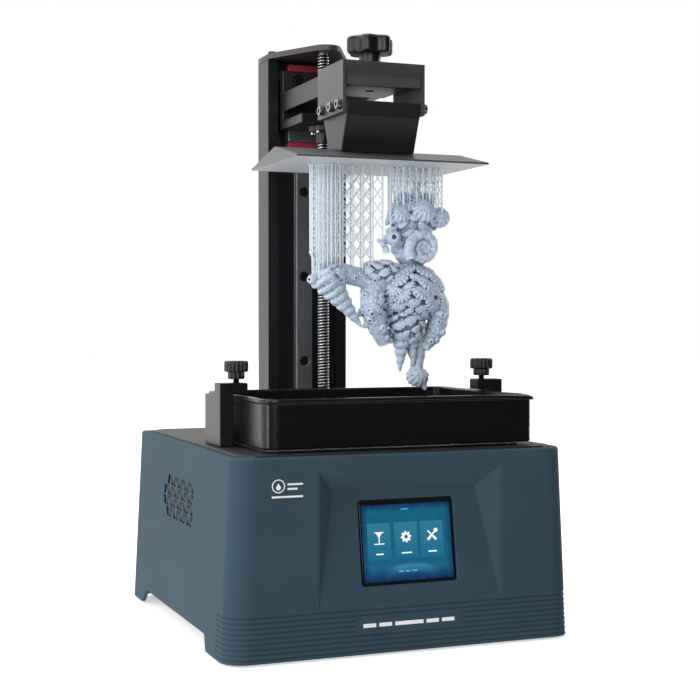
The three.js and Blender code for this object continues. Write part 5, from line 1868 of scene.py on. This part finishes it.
def studio_world():
    """White where the camera sees it; as a light, brightest behind, at the left and from below."""
    world = bpy.data.worlds.new("studio")
    bpy.context.scene.world = world
    world.use_nodes = True
    tree = world.node_tree
    way = add(tree, "TexCoord").outputs["Generated"]
    level = 0.08
    for aim, start, end, most in (
        ((-0.75, 0.66, 0.05), 0.1, 1.0, 1.6), ((0.0, 0.0, 1.0), 0.3, 1.0, 0.5),
        ((0.6, 0.8, 0.0), 0.4, 1.0, 0.35), ((0.0, 0.0, -1.0), 0.25, 1.0, 1.7),
    ):
        along = add(tree, "VectorMath", {0: way, 1: aim}, operation="DOT_PRODUCT").outputs["Value"]
        level = math_of(tree, "ADD", ranged(tree, along, start, end, 0.0, most), level)
    seen = add(tree, "LightPath").outputs["Is Camera Ray"]
    strength = add(tree, "Mix", {0: seen, 2: level, 3: 1.0}, data_type="FLOAT").outputs[0]
    background = tree.nodes["Background"]
    background.inputs["Color"].default_value = (1, 1, 1, 1)
    tree.links.new(strength, background.inputs["Strength"])


studio_world()


def area_light(name, spot, target, size, power):
    data = bpy.data.lights.new(name, "AREA")
    data.shape = "RECTANGLE"
    data.size, data.size_y = size
    data.energy = power
    lamp = linked(name, data)
    lamp.location = spot
    lamp.rotation_euler = (Vector(target) - Vector(spot)).to_track_quat("-Z", "Y").to_euler()


area_light("left_softbox", (-1.0, -0.75, 0.65), (0, 0, 0.15), (0.6, 0.8), 2.5)
area_light("left_strip", (-1.15, -0.46, 0.25), (0, 0, 0.2), (0.12, 0.8), 3.2)
area_light("front_fill", (-0.45, -1.35, 0.5), (0, 0, 0.2), (0.6, 0.6), 6.5)
area_light("top_softbox", (-0.1, 0.1, 1.3), (0, 0, 0.1), (0.9, 0.9), 8)
area_light("right_strip", (1.05, 0.34, 0.35), (0, 0, 0.2), (0.15, 0.8), 3.2)

CAMERA_SPOT = (-0.3327, -0.8586, 0.1932)
CAMERA_LENS, CAMERA_SENSOR = 72.17, 36.0
AZIMUTH, PITCH = math.radians(21.66), math.radians(1.14)

camera_data = bpy.data.cameras.new("camera")
camera_data.lens, camera_data.sensor_width = CAMERA_LENS, CAMERA_SENSOR
camera_data.clip_start = 0.05
camera = linked("camera", camera_data)
camera.location = CAMERA_SPOT
ahead = Vector((math.sin(AZIMUTH) * math.cos(PITCH), math.cos(AZIMUTH) * math.cos(PITCH), -math.sin(PITCH)))
camera.rotation_euler = ahead.to_track_quat("-Z", "Y").to_euler()
bpy.context.scene.camera = camera
bpy.context.scene.view_settings.view_transform = "Standard"
